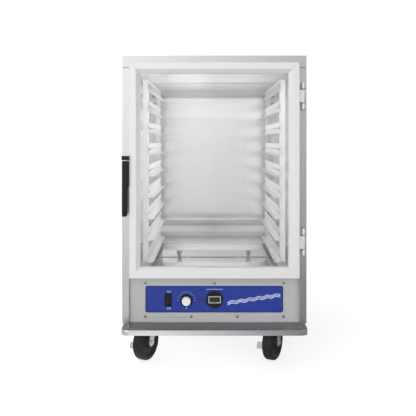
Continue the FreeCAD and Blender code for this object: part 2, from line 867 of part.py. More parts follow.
def make_element():
    run, bend = element_run.value, element_bend.value
    leg, turn = dim.element_leg_x.value, dim.element_leg_bend.value
    level, middle = element_z.value, fan_y.value
    foot = floor_under.value - dim.element_leg_drop.value
    back_y, front_y = middle + bend, middle - bend
    slant = turn * (1 - math.sqrt(0.5))

    def leg_bend(side):
        """Foot, upright end, middle and flat end of the bend above one leg."""
        return (
            Vector(side * leg, back_y, foot),
            Vector(side * leg, back_y, level - turn),
            Vector(side * (leg + slant), back_y, level - slant),
            Vector(side * (leg + turn), back_y, level),
        )

    def end_loop(side):
        """Rear end, middle and front end of the half turn round one end."""
        return (
            Vector(side * run, back_y, level),
            Vector(side * (run + bend), middle, level),
            Vector(side * run, front_y, level),
        )

    right, left = leg_bend(1), leg_bend(-1)
    right_loop, left_loop = end_loop(1), end_loop(-1)
    edges = [
        Part.makeLine(right[0], right[1]),
        Part.Arc(right[1], right[2], right[3]).toShape(),
        Part.makeLine(right[3], right_loop[0]),
        Part.Arc(*right_loop).toShape(),
        Part.makeLine(right_loop[2], left_loop[2]),
        Part.Arc(*reversed(left_loop)).toShape(),
        Part.makeLine(left_loop[0], left[3]),
        Part.Arc(left[3], left[2], left[1]).toShape(),
        Part.makeLine(left[1], left[0]),
    ]
    path = Part.Wire(edges)
    section = Part.Wire([Part.makeCircle(dim.element_radius.value, right[0], Vector(0, 0, 1))])
    tube = doc.addObject("Part::Feature", "heating_element")
    tube.Shape = path.makePipeShell([section], True, False)
    node("heating_element", tube)


# Fan motor under the floor, impeller above it
def make_fan():
    at = (middle_plane, fan_y)
    fan_radius = element_bend - dim.fan_element_gap
    plate_z = (floor_under - dim.motor_plate, floor_under)
    plate = box("motor_plate", both(fan_radius), span(fan_y, 2 * fan_radius), plate_z)
    can = rod("motor_can", "z", at, dim.motor_radius, (plate_z[0] - dim.motor_height, plate_z[0]))
    shaft_foot = plate_z[0] - dim.fan_shaft_drop
    bore_z = (shaft_foot - dim.press_fit, floor_under)
    bore = rod("motor_bore", "z", at, dim.fan_shaft_radius + dim.running_fit, bore_z)
    node("fan_motor", cut("fan_motor", fuse("motor_body", plate, can), bore))
    disc_z = (floor_top + dim.fan_lift, floor_top + dim.fan_lift + dim.fan_plate)
    crest = disc_z[1] + dim.fan_blade
    pieces = [
        rod("fan_disc", "z", at, fan_radius, disc_z),
        rod("fan_hub", "z", at, dim.fan_hub_radius, (disc_z[0], crest)),
    ]
    count = int(dim.fan_blade_count.value)
    for n in range(count):
        blade = box(
            f"fan_blade_{n}",
            (fan_radius - dim.fan_blade_length, fan_radius - dim.fan_plate),
            both(dim.fan_blade_sheet / 2),
            (disc_z[1], crest),
        )
        turn = Rotation(AXES["z"], 360 * n / count)
        turned_blade = group(f"fan_blade_turned_{n}", [blade])
        turned_blade.Placement = Placement(Vector(0, fan_y.value, 0), turn)
        pieces.append(turned_blade)
    bore = rod("fan_bore", "z", at, dim.fan_shaft_radius + dim.press_fit, (disc_z[0], crest))
    wheel = cut("fan_wheel", fuse("fan_wheel_body", *pieces), bore)
    shaft = rod("fan_shaft", "z", at, dim.fan_shaft_radius, (shaft_foot, crest))
    node("fan_impeller", group("fan_impeller", [wheel, shaft]))


# Control panel with its overlay, brackets and screws
screw_x = panel_half - dim.panel_screw_inset
upper_screw_z, lower_screw_z = sill_bottom - dim.panel_screw_edge, deck + dim.panel_screw_edge
panel_screw_places = [
    *[(x, upper_screw_z) for x in (-screw_x, middle_plane, screw_x)],
    *[(x, lower_screw_z) for x in both(screw_x) + both(dim.panel_screw_inner_x)],
]
switch_body_x = span(switch_x, dim.switch_width - 2 * dim.switch_rim)
switch_body_z = span(switch_z, dim.switch_height - 2 * dim.switch_rim)


def panel_openings(name):
    """Openings for the switch, thermostat, lamp and thermometer."""
    gap = dim.hole_clearance
    deep = (overlay_front, panel_back)
    wide = (switch_body_x[0] - gap, switch_body_x[1] + gap)
    tall = (switch_body_z[0] - gap, switch_body_z[1] + gap)
    knob, lamp, meter = (knob_x, knob_z), (lamp_x, lamp_z), (meter_x, meter_z)
    return [
        box(f"{name}_switch_opening", wide, deep, tall),
        rod(f"{name}_knob_opening", "y", knob, dim.bushing_radius + gap, deep),
        rod(f"{name}_lamp_opening", "y", lamp, dim.lamp_body_radius + gap, deep),
        rod(f"{name}_meter_opening", "y", meter, dim.meter_body_radius + gap, deep),
    ]


def panel_screw_holes(name, ends):
    return [rod(f"{name}_hole_{n}", "y", at, screw_hole, ends) for n, at in enumerate(panel_screw_places)]


def make_panel():
    bracket_back = panel_back + dim.bracket_sheet
    face = box("panel_face", both(panel_half), (panel_front, panel_back), (deck, sill_bottom))
    wing_y = (panel_back, panel_back + dim.panel_flange)
    wing = box("panel_wing", (panel_half - dim.skin_sheet, panel_half), wing_y, (deck, sill_bottom))
    blank = fuse("panel_blank", face, wing, mirrored("panel_wing_left", wing))
    holes = panel_screw_holes("panel", (panel_front, panel_back))
    node("control_panel", cut("control_panel", blank, *panel_openings("panel"), *holes))
    overlay = box("overlay_sheet", both(overlay_half), (overlay_front, panel_front), overlay_z)
    overlay = rounded("overlay_round", overlay, "y", dim.overlay_corner)
    node("panel_overlay", cut("panel_overlay", overlay, *panel_openings("overlay")))

    leg, sheet = dim.bracket_leg, dim.bracket_sheet
    long = both(panel_half - dim.bracket_end_gap)
    depth = (panel_back, bracket_back)
    foot = (panel_back, bracket_rear)
    upper = fuse(
        "upper_bracket",
        box("upper_bracket_leg", long, depth, (sill_bottom - leg, sill_bottom)),
        box("upper_bracket_foot", long, foot, (sill_bottom - sheet, sill_bottom)),
    )
    lower = fuse(
        "lower_bracket",
        box("lower_bracket_leg", long, depth, (deck, deck + leg)),
        box("lower_bracket_foot", long, foot, (deck, deck + sheet)),
    )
    holes = panel_screw_holes("bracket", depth)
    node("panel_brackets", cut("panel_brackets", group("bracket_pair", [upper, lower]), *holes))
    screws = []
    for n, at in enumerate(panel_screw_places):
        screws.append(pan_screw(f"panel_screw_{n}", "y", at, panel_front, 1))
    node("panel_screws", group("panel_screws", screws))


# Rocker switch
def make_switch():
    bezel_front = overlay_front - dim.switch_bezel
    pivot_y = overlay_front + dim.rocker_pivot_depth
    pivot = (pivot_y, switch_z)
    well_x = span(switch_x, dim.rocker_width + 2 * dim.rocker_side_gap)
    well_z = span(switch_z, dim.rocker_height + 2 * dim.rocker_end_gap)
    well_back = pivot_y + dim.rocker_back + dim.rocker_end_gap
    bezel = box(
        "switch_bezel",
        span(switch_x, dim.switch_width),
        (bezel_front, overlay_front),
        span(switch_z, dim.switch_height),
    )
    case_y = (overlay_front, overlay_front + dim.switch_depth)
    case = box("switch_case", switch_body_x, case_y, switch_body_z)
    well = box("switch_well", well_x, (bezel_front, well_back), well_z)
    pin_half = dim.rocker_width / 2 + dim.rocker_pivot_reach
    pin_x = (switch_x - pin_half, switch_x + pin_half)
    socket_x = (pin_x[0] - dim.rocker_side_gap, pin_x[1] + dim.rocker_side_gap)
    socket = rod("switch_socket", "x", pivot, dim.rocker_pivot_radius + dim.running_fit, socket_x)
    node("switch_housing", cut("switch_housing", fuse("switch_body", bezel, case), well, socket))

    tip, crest = dim.rocker_height / 2, -dim.rocker_proud
    profile = [
        (crest, -tip),
        (crest + dim.rocker_dip, 0),
        (crest, tip),
        (crest + dim.rocker_proud * 0.8, tip),
        (dim.rocker_back, tip / 4),
        (dim.rocker_back, -tip / 4),
        (crest + dim.rocker_proud * 0.8, -tip),
    ]
    paddle = prism("rocker_paddle", "YZ_Plane", [profile], both(dim.rocker_width / 2))
    pin = rod("rocker_pin", "x", (0, 0), dim.rocker_pivot_radius, both(pin_half))
    rocker = fuse("rocker", paddle, pin)
    rest = Rotation(AXES["x"], -dim.rocker_throw.value / 2)
    rocker.Placement = Placement(Vector(switch_x.value, pivot_y.value, switch_z.value), rest)
    node("rocker", rocker)


# Thermostat behind the panel and its two-part knob
def make_thermostat():
    at = (knob_x, knob_z)
    bushing_front = overlay_front - dim.bushing_proud
    skirt_back = bushing_front - dim.knob_gap
    cap_back = skirt_back - dim.knob_skirt
    shaft_y = (cap_back - dim.shaft_in_cap, panel_back + dim.shaft_in_body)
    case_x, case_z = (span(place, dim.thermostat_width) for place in at)
    case = box("thermostat_case", case_x, (panel_back, panel_back + dim.thermostat_depth), case_z)
    bushing = rod("thermostat_bushing", "y", at, dim.bushing_radius, (bushing_front, panel_back))
    bore_y = (bushing_front, shaft_y[1] + dim.press_fit)
    bore = rod("thermostat_bore", "y", at, dim.shaft_radius + dim.running_fit, bore_y)
    node("thermostat_body", cut("thermostat_body", fuse("thermostat_blank", case, bushing), bore))

    bore = dim.shaft_radius + dim.press_fit
    rim = dim.knob_skirt_radius
    skirt_outline = [
        (bore, 0),
        (rim, 0),
        (rim, dim.knob_skirt * 0.4),
        (rim - dim.knob_skirt * 0.4, dim.knob_skirt * 0.8),
        (dim.knob_cap_radius, dim.knob_skirt),
        (bore, dim.knob_skirt),
    ]
    skirt = turned_forward("knob_skirt_ring", skirt_outline, at, skirt_back)
    shaft = rod("knob_shaft", "y", at, dim.shaft_radius, shaft_y)
    node("knob_skirt", group("knob_skirt", [skirt, shaft]))
    cap_rim = dim.knob_cap_radius
    hollow = dim.shaft_in_cap + dim.press_fit
    cap_outline = [
        (bore, 0),
        (cap_rim, 0),
        (cap_rim - dim.knob_cap_draft, dim.knob_cap - dim.knob_cap_edge),
        (cap_rim - dim.knob_cap_edge, dim.knob_cap),
        (0, dim.knob_cap),
        (0, hollow),
        (bore, hollow),
    ]
    node("knob_cap", turned_forward("knob_cap_body", cap_outline, at, cap_back))


# Pilot lamp and round thermometer
def make_lamp_and_meter():
    at = (lamp_x, lamp_z)
    lens = rod("lamp_lens", "y", at, dim.lamp_radius, (overlay_front - dim.lamp_proud, overlay_front))
    stem_y = (overlay_front, overlay_front + dim.lamp_depth)
    stem = rod("lamp_stem", "y", at, dim.lamp_body_radius, stem_y)
    node("pilot_lamp", fuse("pilot_lamp", lens, stem))

    at = (meter_x, meter_z)
    meter_front = overlay_front - dim.meter_proud
    ring = rod("meter_ring", "y", at, dim.meter_radius, (meter_front, overlay_front))
    can_y = (overlay_front, overlay_front + dim.meter_depth)
    can = rod("meter_can", "y", at, dim.meter_body_radius, can_y)
    node("thermometer_case", fuse("thermometer_case", ring, can))
    frame_y = (meter_front - dim.meter_frame_proud, meter_front)
    gap = dim.hole_clearance
    frame = box(
        "meter_frame",
        span(meter_x, dim.meter_frame_width),
        frame_y,
        span(meter_z, dim.meter_frame_height),
    )
    window_x = span(meter_x, dim.meter_window_width)
    window_z = span(meter_z, dim.meter_window_height)
    hole_x = (window_x[0] - gap, window_x[1] + gap)
    hole_z = (window_z[0] - gap, window_z[1] + gap)
    node("thermometer_bezel", cut("thermometer_bezel", frame, box("meter_hole", hole_x, frame_y, hole_z)))
    window_y = (meter_front - dim.meter_window_sheet, meter_front)
    node("thermometer_window", box("thermometer_window", window_x, window_y, window_z))


# Supply socket in the back
def make_inlet():
    x, z = dim.inlet_x, deck + dim.inlet_rise
    outside = rear + dim.inlet_flange
    flange = box("inlet_flange", span(x, dim.inlet_width), (rear, outside), span(z, dim.inlet_height))
    body_x, body_z = span(x, dim.inlet_body_width), span(z, dim.inlet_body_height)
    body = box("inlet_body", body_x, (outside - dim.inlet_depth, rear), body_z)
    wall = dim.inlet_wall
    recess_y = (outside - dim.inlet_recess, outside)
    recess_x = (body_x[0] + wall, body_x[1] - wall)
    recess = box("inlet_recess", recess_x, recess_y, (body_z[0] + wall, body_z[1] - wall))
    shell = cut("inlet_shell", fuse("inlet_blank", flange, body), recess)
    pin_y, pin_z = (recess_y[0] - wall / 2, outside - wall), span(z, dim.inlet_pin_height)
    pins = []
    for n, offset in enumerate((-1, 0, 1)):
        pin_x = span(x + dim.inlet_pin_pitch * offset, dim.inlet_pin_width)
        pins.append(box(f"inlet_pin_{n}", pin_x, pin_y, pin_z))
    node("power_inlet", fuse("power_inlet", shell, *pins))


# Door: four mitred rails round a pane, with a gasket behind
def make_door():
    face, flat, wall = dim.rail_face, dim.rail_flat, dim.rail_wall
    groove = face - dim.pane_seat
    lip_front = dim.rail_bevel_depth + dim.rail_lip
    lip_back = lip_front + dim.pane_sheet + 2 * dim.pane_clearance
    thick = dim.door_thickness
    section = [
        (0, 0),
        (flat, 0),
        (face, dim.rail_bevel_depth),
        (face, lip_front),
        (groove, lip_front),
        (groove, lip_back),
        (face, lip_back),
        (face, thick),
        (0, thick),
    ]
    chamber_side = groove - wall
    chamber = [
        (wall, wall),
        (flat - wall, wall),
        (chamber_side, lip_front - wall),
        (chamber_side, thick - wall),
        (wall, thick - wall),
    ]
    bottom, crown = door_bottom, door_top

    def across(points, edge, inward):
        """The rail section in (depth, height) at a top or bottom edge."""
        return [(door_front + depth, edge + inward * inset) for inset, depth in points]

    def upright(points, edge, inward):
        """The rail section in (width, depth) at a side edge."""
        return [(edge + inward * inset, door_front + depth) for inset, depth in points]

    def mitred(name, bar, corners):
        wedge = prism(f"{name}_mitre", "XZ_Plane", [corners], (door_front, door_back))
        node(name, common(name, bar, wedge))

    inner = door_half - face
    for name, edge, inward in (("door_top_rail", crown, -1), ("door_bottom_rail", bottom, 1)):
        outlines = [across(section, edge, inward), across(chamber, edge, inward)]
        bar = prism(f"{name}_bar", "YZ_Plane", outlines, both(door_half))
        lip = edge + inward * face
        mitred(name, bar, [(-door_half, edge), (door_half, edge), (inner, lip), (-inner, lip)])
    for name, edge, inward in (("door_left_stile", -door_half, 1), ("door_right_stile", door_half, -1)):
        outlines = [upright(section, edge, inward), upright(chamber, edge, inward)]
        bar = prism(f"{name}_bar", "XY_Plane", outlines, (bottom, crown))
        lip = edge + inward * face
        mitred(name, bar, [(edge, bottom), (edge, crown), (lip, crown - face), (lip, bottom + face)])

    slack = groove + dim.pane_clearance
    pane_y = (door_front + lip_front + dim.pane_clearance, door_front + lip_back - dim.pane_clearance)
    node("door_pane", box("door_pane", both(door_half - slack), pane_y, (bottom + slack, crown - slack)))

    margin, width = dim.gasket_margin, dim.gasket_margin + dim.gasket_width
    seal_y = (door_back, front)
    outer = box("gasket_outer", both(door_half - margin), seal_y, (bottom + margin, crown - margin))
    hole = box("gasket_hole", both(door_half - width), seal_y, (bottom + width, crown - width))
    node("door_gasket", cut("door_gasket", outer, hole))


# Two hinges on the right edge of the door
def make_hinges():
    axis = (half - dim.hinge_axis_inset, front - dim.hinge_axis_proud)
    levels = {"upper": door_top - dim.hinge_upper_drop, "lower": door_bottom + dim.hinge_lower_rise}
    frame_leaves, door_leaves = [], []
    for name, level in levels.items():
        block_z = span(level, dim.hinge_block)
        low = (block_z[0] - dim.hinge_gap - dim.hinge_knuckle, block_z[0] - dim.hinge_gap)
        high = (block_z[1] + dim.hinge_gap, block_z[1] + dim.hinge_gap + dim.hinge_knuckle)
        leaf_y = (front - dim.hinge_leaf_sheet, front)
        pieces = [box(f"{name}_leaf", span(axis[0], dim.hinge_leaf_width), leaf_y, (low[0], high[1]))]
        for side, ends in (("low", low), ("high", high)):
            arm_x = span(axis[0], dim.hinge_arm_width)
            pieces.append(box(f"{name}_{side}_arm", arm_x, (axis[1], leaf_y[0]), ends))
            pieces.append(rod(f"{name}_{side}_knuckle", "z", axis, dim.hinge_radius, ends))
        pin_z = (low[0], high[1])
        seat = rod(f"{name}_pin_seat", "z", axis, dim.hinge_pin_radius + dim.press_fit, pin_z)
        frame_leaves.append(cut(f"{name}_frame_leaf", fuse(f"{name}_frame_blank", *pieces), seat))
        head_z = (high[1], high[1] + dim.hinge_pin_head)
        frame_leaves.append(fuse(
            f"{name}_pin",
            rod(f"{name}_pin_shank", "z", axis, dim.hinge_pin_radius, pin_z),
            rod(f"{name}_pin_head", "z", axis, dim.hinge_pin_head_radius, head_z),
        ))
        block_y = span(axis[1], 2 * dim.hinge_radius)
        block = box(f"{name}_door_block", (door_half, axis[0]), block_y, block_z)
        barrel = rod(f"{name}_door_barrel", "z", axis, dim.hinge_radius, block_z)
        bore = rod(f"{name}_door_bore", "z", axis, dim.hinge_pin_radius + dim.running_fit, block_z)
        door_leaves.append(cut(f"{name}_door_leaf", fuse(f"{name}_door_blank", block, barrel), bore))
    node("hinge_frame_leaves", group("hinge_frame_leaves", frame_leaves))
    node("hinge_door_leaves", group("hinge_door_leaves", door_leaves))


# Pull latch on the left edge of the door, and the plate that its magnet holds on to
def make_latch():
    x = -(door_half + dim.latch_base_width / 2)
    latch_top = (door_bottom + door_top) / 2 + dim.latch_rise
    base_z = (latch_top - dim.latch_base_height, latch_top)
    plane_y = door_front - dim.lever_back_gap
    front_y = plane_y - dim.latch_depth
    pin_y = plane_y - dim.lever_pivot_proud
    cap_z = (latch_top - dim.latch_cap, latch_top)
    lever_top = cap_z[0] - dim.latch_gap
    pin_z = lever_top - dim.lever_pivot_drop
    pin = (pin_y, pin_z)
    reach = dim.lever_pivot_proud
    drop = dim.lever_pivot_drop

    def about_pin(points):
        return [(pin_y + depth, pin_z + height) for depth, height in points]

    tongue_outline = about_pin([
        (reach, -drop),
        (-reach * 0.64, -drop),
        (-reach * 0.64, drop * 0.27),
        (-reach * 0.21, drop * 0.53),
        (-reach * 0.21, drop + dim.latch_gap + dim.latch_cap * 0.8),
        (reach, drop + dim.latch_gap + dim.latch_cap * 0.8),
    ])
    tongue_x = span(x, dim.tongue_width)
    tongue = prism("latch_tongue", "YZ_Plane", [tongue_outline], tongue_x)
    block = box("latch_block", span(x, dim.latch_base_width), (plane_y, door_back), base_z)
    bore = rod("latch_bore", "x", pin, dim.lever_pin_radius + dim.running_fit, tongue_x)
    node("latch_base", cut("latch_base", fuse("latch_blank", block, tongue), bore))

    gap = dim.tongue_gap
    slot_x = (tongue_x[0] - gap, tongue_x[1] + gap)
    cap = box("latch_cap_block", span(x, dim.latch_cap_width), (front_y, plane_y), cap_z)
    pocket_y = (pin_y - reach * 0.21 - gap, plane_y)
    pocket = box("latch_cap_pocket", slot_x, pocket_y, (cap_z[0], cap_z[1] - dim.latch_cap * 0.15))
    node("latch_cap", cut("latch_cap", rounded("latch_cap_round", cap, "x", dim.rail_lip), pocket))

    back = reach - dim.lever_back_gap
    face = reach - dim.latch_depth
    step, length = -dim.lever_step, -dim.lever_length
    upper_outline = about_pin([
        (back, drop * 0.2),
        (back * 0.63, drop * 0.71),
        (back * 0.08, drop),
        (face * 0.59, drop),
        (face, drop * 0.4),
        (face, step),
        (back, step),
    ])
    grip_outline = about_pin([
        (back, step),
        (face, step),
        (face * 1.25, step * 1.3),
        (face * 1.25, length * 0.94),
        (face * 0.8, length),
        (back * 0.3, length),
        (back * 0.8, length * 0.95),
    ])
    lever_x = span(x, dim.lever_width)
    upper = prism("lever_upper", "YZ_Plane", [upper_outline], lever_x)
    grip_x = (lever_x[0], lever_x[0] + dim.lever_grip_width)
    grip = prism("lever_grip", "YZ_Plane", [grip_outline], grip_x)
    slot_y = (pin_y - reach * 0.93, plane_y)
    slot = box("lever_slot", slot_x, slot_y, (pin_z - 1.7 * drop, lever_top))
    pin_x = span(x, dim.lever_width * 0.9)
    seat = rod("lever_pin_seat", "x", pin, dim.lever_pin_radius + dim.press_fit, lever_x)
    lever = cut("lever_body", fuse("lever_blank", upper, grip), slot, seat)
    pivot = rod("lever_pin", "x", pin, dim.lever_pin_radius, pin_x)
    node("latch_lever", group("latch_lever", [lever, pivot]))
    strike_x = span(x, dim.strike_width)
    strike_z = (base_z[0] + dim.strike_end_gap, base_z[1] - dim.strike_end_gap)
    node("strike_plate", box("strike_plate", strike_x, (front - dim.strike_sheet, front), strike_z))


# Casters: plates bolted under the base, swivelling forks, wheels and brake pedals
def make_caster_plates():
    plates, bolts = [], []
    for name, (x, y) in caster_places.items():
        z = (plate_under, deck_under)
        plate_x = span(x, dim.bolt_pitch_x + 2 * dim.plate_edge)
        plate_y = span(y, dim.bolt_pitch_y + 2 * dim.plate_edge)
        plates.append(box(f"{name}_plate", plate_x, plate_y, z))
    holes = bolt_holes("plate", (plate_under, deck_under))
    drilled = cut("drilled_plates", group("plate_group", plates), *holes)
    pins = []
    for name, at in caster_places.items():
        head = (crown_bottom - dim.press_fit - dim.kingpin_head, crown_bottom - dim.press_fit)
        pins.append(fuse(
            f"{name}_kingpin",
            rod(f"{name}_kingpin_shank", "z", at, dim.kingpin_radius, (head[1], plate_under)),
            rod(f"{name}_kingpin_head", "z", at, dim.kingpin_head_radius, head),
        ))
    node("caster_plates", group("caster_plates", [drilled, *pins]))
    nut_z = (deck, deck + dim.nut_height)
    for n, at in enumerate(bolt_places):
        head_z = (plate_under - dim.bolt_head, plate_under)
        head = hexagon(f"bolt_head_{n}", at, dim.bolt_head_radius, head_z)
        shank = rod(f"bolt_shank_{n}", "z", at, dim.bolt_radius, (plate_under, nut_z[1] + dim.bolt_tail))
        bolts.append(fuse(f"bolt_{n}", head, shank))
        nut = hexagon(f"nut_blank_{n}", at, dim.bolt_head_radius, nut_z)
        thread = rod(f"nut_thread_{n}", "z", at, dim.bolt_radius + dim.press_fit, nut_z)
        bolts.append(cut(f"nut_{n}", nut, thread))
    node("caster_bolts", group("caster_bolts", bolts))


axle_z = dim.wheel_radius
hub_half = dim.wheel_width / 2 + dim.hub_proud
leg_inner = hub_half + dim.fork_hub_gap
leg_outer = leg_inner + dim.fork_leg
axle_at = (dim.trail, axle_z)


def make_fork(name):
    """Fork and axle about the swivel axis, with the wheel trailing to +Y."""
    front_y, back_y = -dim.fork_front, dim.fork_rear
    tip = dim.fork_tip_radius
    leg_outline = [
        (front_y, crown_top),
        (back_y, crown_top),
        (dim.trail + tip, axle_z + tip / 2),
        (dim.trail + tip, axle_z),
        (dim.trail - tip, axle_z),
        (dim.trail - tip - dim.crown_sheet, axle_z + tip),
    ]
    pieces = [box(f"{name}_crown", both(leg_outer), (front_y, back_y), (crown_bottom, crown_top))]
    pieces.append(rod(f"{name}_race", "z", (0, 0), dim.race_radius, (crown_top, race_top)))
    for side, ends in (("right", (leg_inner, leg_outer)), ("left", (-leg_outer, -leg_inner))):
        pieces.append(prism(f"{name}_{side}_leg", "YZ_Plane", [leg_outline], ends))
        pieces.append(rod(f"{name}_{side}_tip", "x", axle_at, tip, ends))
    bore_z = (crown_bottom, race_top)
    pin_bore = rod(f"{name}_pin_bore", "z", (0, 0), dim.kingpin_radius + dim.running_fit, bore_z)
    axle_bore = rod(f"{name}_axle_bore", "x", axle_at, dim.axle_radius + dim.press_fit, both(leg_outer))
    fork = cut(f"{name}_fork_body", fuse(f"{name}_fork_blank", *pieces), pin_bore, axle_bore)
    pedal_room = leg_outer + 2 * dim.pedal_gap + dim.pedal_sheet
    head_x = (-leg_outer - dim.axle_head, -leg_outer)
    nut_x = (pedal_room, pedal_room + dim.axle_head)
    axle = fuse(
        f"{name}_axle",
        rod(f"{name}_axle_rod", "x", axle_at, dim.axle_radius, (-leg_outer, pedal_room)),
        rod(f"{name}_axle_head", "x", axle_at, dim.axle_head_radius, head_x),
        rod(f"{name}_axle_nut", "x", axle_at, dim.axle_head_radius, nut_x),
    )
    return group(f"{name}_caster_fork", [fork, axle])


def make_wheel(name):
    """Wheel about its own axle, which lies along X."""
    bore = dim.axle_radius + dim.running_fit
    tread, shoulder, slope = dim.wheel_radius, dim.tyre_shoulder, dim.wheel_web_slope
    rim = tread - dim.tyre_height
    half_side = [
        (hub_half, bore),
        (hub_half, dim.hub_radius),
        (dim.wheel_web / 2, dim.hub_radius + slope),
        (dim.wheel_web / 2, rim - slope),
        (dim.wheel_width / 2, rim),
    ]
    for degrees in (0, 30, 60, 90):
        inward = shoulder * (1 - math.cos(math.radians(degrees)))
        below = shoulder * (1 - math.sin(math.radians(degrees)))
        half_side.append((dim.wheel_width / 2 - inward, tread - below))
    outline = half_side + [(-across, radius) for across, radius in reversed(half_side)]
    return revolve(f"{name}_wheel", "XY_Plane", outline, "H_Axis")


def make_pedal(name):
    """Brake pedal hung on the axle outside the fork leg, with a foot tab bent outward at its end."""
    side_x = (leg_outer + dim.pedal_gap, leg_outer + dim.pedal_gap + dim.pedal_sheet)
    ring = dim.pedal_ring_radius
    tab_y = span(dim.trail + dim.pedal_arm, dim.pedal_sheet)
    tab_z = (axle_z - dim.pedal_tab_height, axle_z)
    tab_end = side_x[1] + dim.pedal_tab_reach
    side_view = [
        (dim.trail, axle_z + ring),
        (tab_y[1], tab_z[1]),
        (tab_y[1], tab_z[0]),
        (dim.trail, axle_z - ring),
    ]
    end_view = [
        (side_x[0], tab_z[1]),
        (tab_end - dim.pedal_tab_slant, tab_z[1]),
        (tab_end, tab_z[0]),
        (side_x[0], tab_z[0]),
    ]
    plate = fuse(
        f"{name}_pedal_blank",
        rod(f"{name}_pedal_ring", "x", axle_at, ring, side_x),
        prism(f"{name}_pedal_arm", "YZ_Plane", [side_view], side_x),
        prism(f"{name}_pedal_tab", "XZ_Plane", [end_view], tab_y),
    )
    bore = rod(f"{name}_pedal_bore", "x", axle_at, dim.axle_radius + dim.running_fit, side_x)
    return cut(f"{name}_brake_pedal", plate, bore)


def make_casters():
    make_caster_plates()
    swivel = Rotation(AXES["z"], dim.caster_turn.value)
    for name, (x, y) in caster_places.items():
        place = Placement(Vector(x.value, y.value, 0), swivel)
        fork = make_fork(name)
        fork.Placement = place
        node(f"{name}_fork", fork)
        wheel = make_wheel(name)
        wheel.Placement = place * Placement(Vector(0, dim.trail.value, axle_z.value), Rotation())
        node(f"{name}_wheel", wheel)
        if name.startswith("front"):
            pedal = make_pedal(name)
            pedal.Placement = place
            node(f"{name}_brake_pedal", pedal)


make_base()
make_skins()
make_cavity()
make_rack()
make_cover()
make_element()
make_fan()
make_panel()
make_switch()
make_thermostat()
make_lamp_and_meter()
make_inlet()
make_door()
make_hinges()
make_latch()
make_casters()

doc.recompute()
failed = [item.Name for item in doc.Objects if {"Invalid", "Error"} & set(item.State)]
if failed:
    raise RuntimeError(f"These did not build: {failed}")
for item in nodes:
    if item.Shape.isNull() or not item.Shape.isValid() or item.Shape.Volume <= 0:
        raise RuntimeError(f"{item.Label} has no sound shape")
os.makedirs("parts", exist_ok=True)
for item in nodes:
    item.Shape.exportStep(f"parts/{item.Label}.step")
    print(f"{item.Label}: {len(item.Shape.Solids)} solids, {item.Shape.Volume / 1000:.1f} cm3")
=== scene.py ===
"""Looks of the heated holding cabinet: finishes, modelled details, studio and camera."""
from math import atan2, cos, pi, radians, sin

import bmesh
import bpy
from mathutils import Matrix, Vector


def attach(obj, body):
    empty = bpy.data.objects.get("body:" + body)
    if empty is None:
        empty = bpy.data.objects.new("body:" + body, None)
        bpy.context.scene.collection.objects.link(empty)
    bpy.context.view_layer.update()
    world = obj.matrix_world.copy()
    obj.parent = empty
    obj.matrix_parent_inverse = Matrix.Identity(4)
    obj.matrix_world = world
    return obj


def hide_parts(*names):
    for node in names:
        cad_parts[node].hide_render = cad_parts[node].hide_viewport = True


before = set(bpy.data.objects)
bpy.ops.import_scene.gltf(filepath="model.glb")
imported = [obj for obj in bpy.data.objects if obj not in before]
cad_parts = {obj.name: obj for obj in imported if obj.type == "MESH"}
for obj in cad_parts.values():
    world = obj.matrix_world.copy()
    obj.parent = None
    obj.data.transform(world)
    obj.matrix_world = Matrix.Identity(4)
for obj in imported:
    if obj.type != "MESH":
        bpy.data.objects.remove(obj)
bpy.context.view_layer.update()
MM = 0.001

# Places and sizes in millimetres that the details share with the solids
PANEL_FRONT = -343.0
OVERLAY_FRONT = -343.6
DECK = 150.0
CASTER_TURN = radians(154)
CASTER_TRAIL = 40.0
WHEEL_RADIUS = 63.5
WHEEL_WIDTH = 38.0
CASTERS = {
    "front_left": (-227, -245),
    "front_right": (227, -245),
    "rear_left": (-227, 262),
    "rear_right": (227, 262),
}
KNOB_X, KNOB_Z = -97.0, 227.0
SKIRT_BACK, CAP_BACK, CAP_FRONT = -345.2, -350.2, -364.2
SWITCH_X, SWITCH_Z = -160.4, 228.3
ROCKER_PIVOT_Y = -341.6
METER_X = 1.0
PANEL_SCREWS = [(-241, 286), (0, 286), (241, 286), (-241, 170), (-80, 170), (80, 170), (241, 170)]
LEDGE_SCREWS = [(-290, -398), (0, -398), (290, -398)]
SLIDE_LEVELS = [371 + 76.2 * n for n in range(9)]
SLIDE_WEB_X = 233.5
RIVET_ROWS = (-280.5, 244.5)

GRIP_TOP, GRIP_STEP = 713.5, 636.0
GASKET_BOX = (-289, -361, 314.5), (289, -358, 1049)
HEM_BOX = (-285.5, -9, 1013.2), (285.5, 0, 1015)
FILM_HALF_WIDTH, FILM_BOTTOM, FILM_TOP = 240, 184, 277
METER_STRIPE_HALF, METER_STRIPE_BOTTOM, METER_STRIPE_TOP = 29, 264.0, 266.0
KNOB_FACETS = 60
DIAL_TICKS = 11
PRINT_SUNK, PRINT_PROUD = 0.02, 0.06
DOUBLES = 0.002

FACING_FRONT = (pi / 2, 0, 0)
ALONG_X = (0, pi / 2, 0)

# Stretch of the noise that draws a sheet's grain, by the way the grain runs
UPRIGHT_GRAIN = (900, 900, 6)
LEVEL_GRAIN = (6, 900, 900)
DEPTH_GRAIN = (900, 6, 900)

# The photograph is square; its lens and the middle of its view are in pixels
PHOTO_SIDE = 416
FOCAL_LENGTH = 617
VIEW_SHIFT = (-1.05, -68)
SENSOR_WIDTH = 36


# Selecting and shaping
def clear_selection():
    if bpy.context.object and bpy.context.object.mode != "OBJECT":
        bpy.ops.object.mode_set(mode="OBJECT")
    bpy.ops.object.select_all(action="DESELECT")


def make_active(piece):
    clear_selection()
    piece.select_set(True)
    bpy.context.view_layer.objects.active = piece


def settle(piece):
    """Leave the piece at the origin with its place in its mesh."""
    make_active(piece)
    bpy.ops.object.transform_apply(location=True, rotation=True, scale=True)


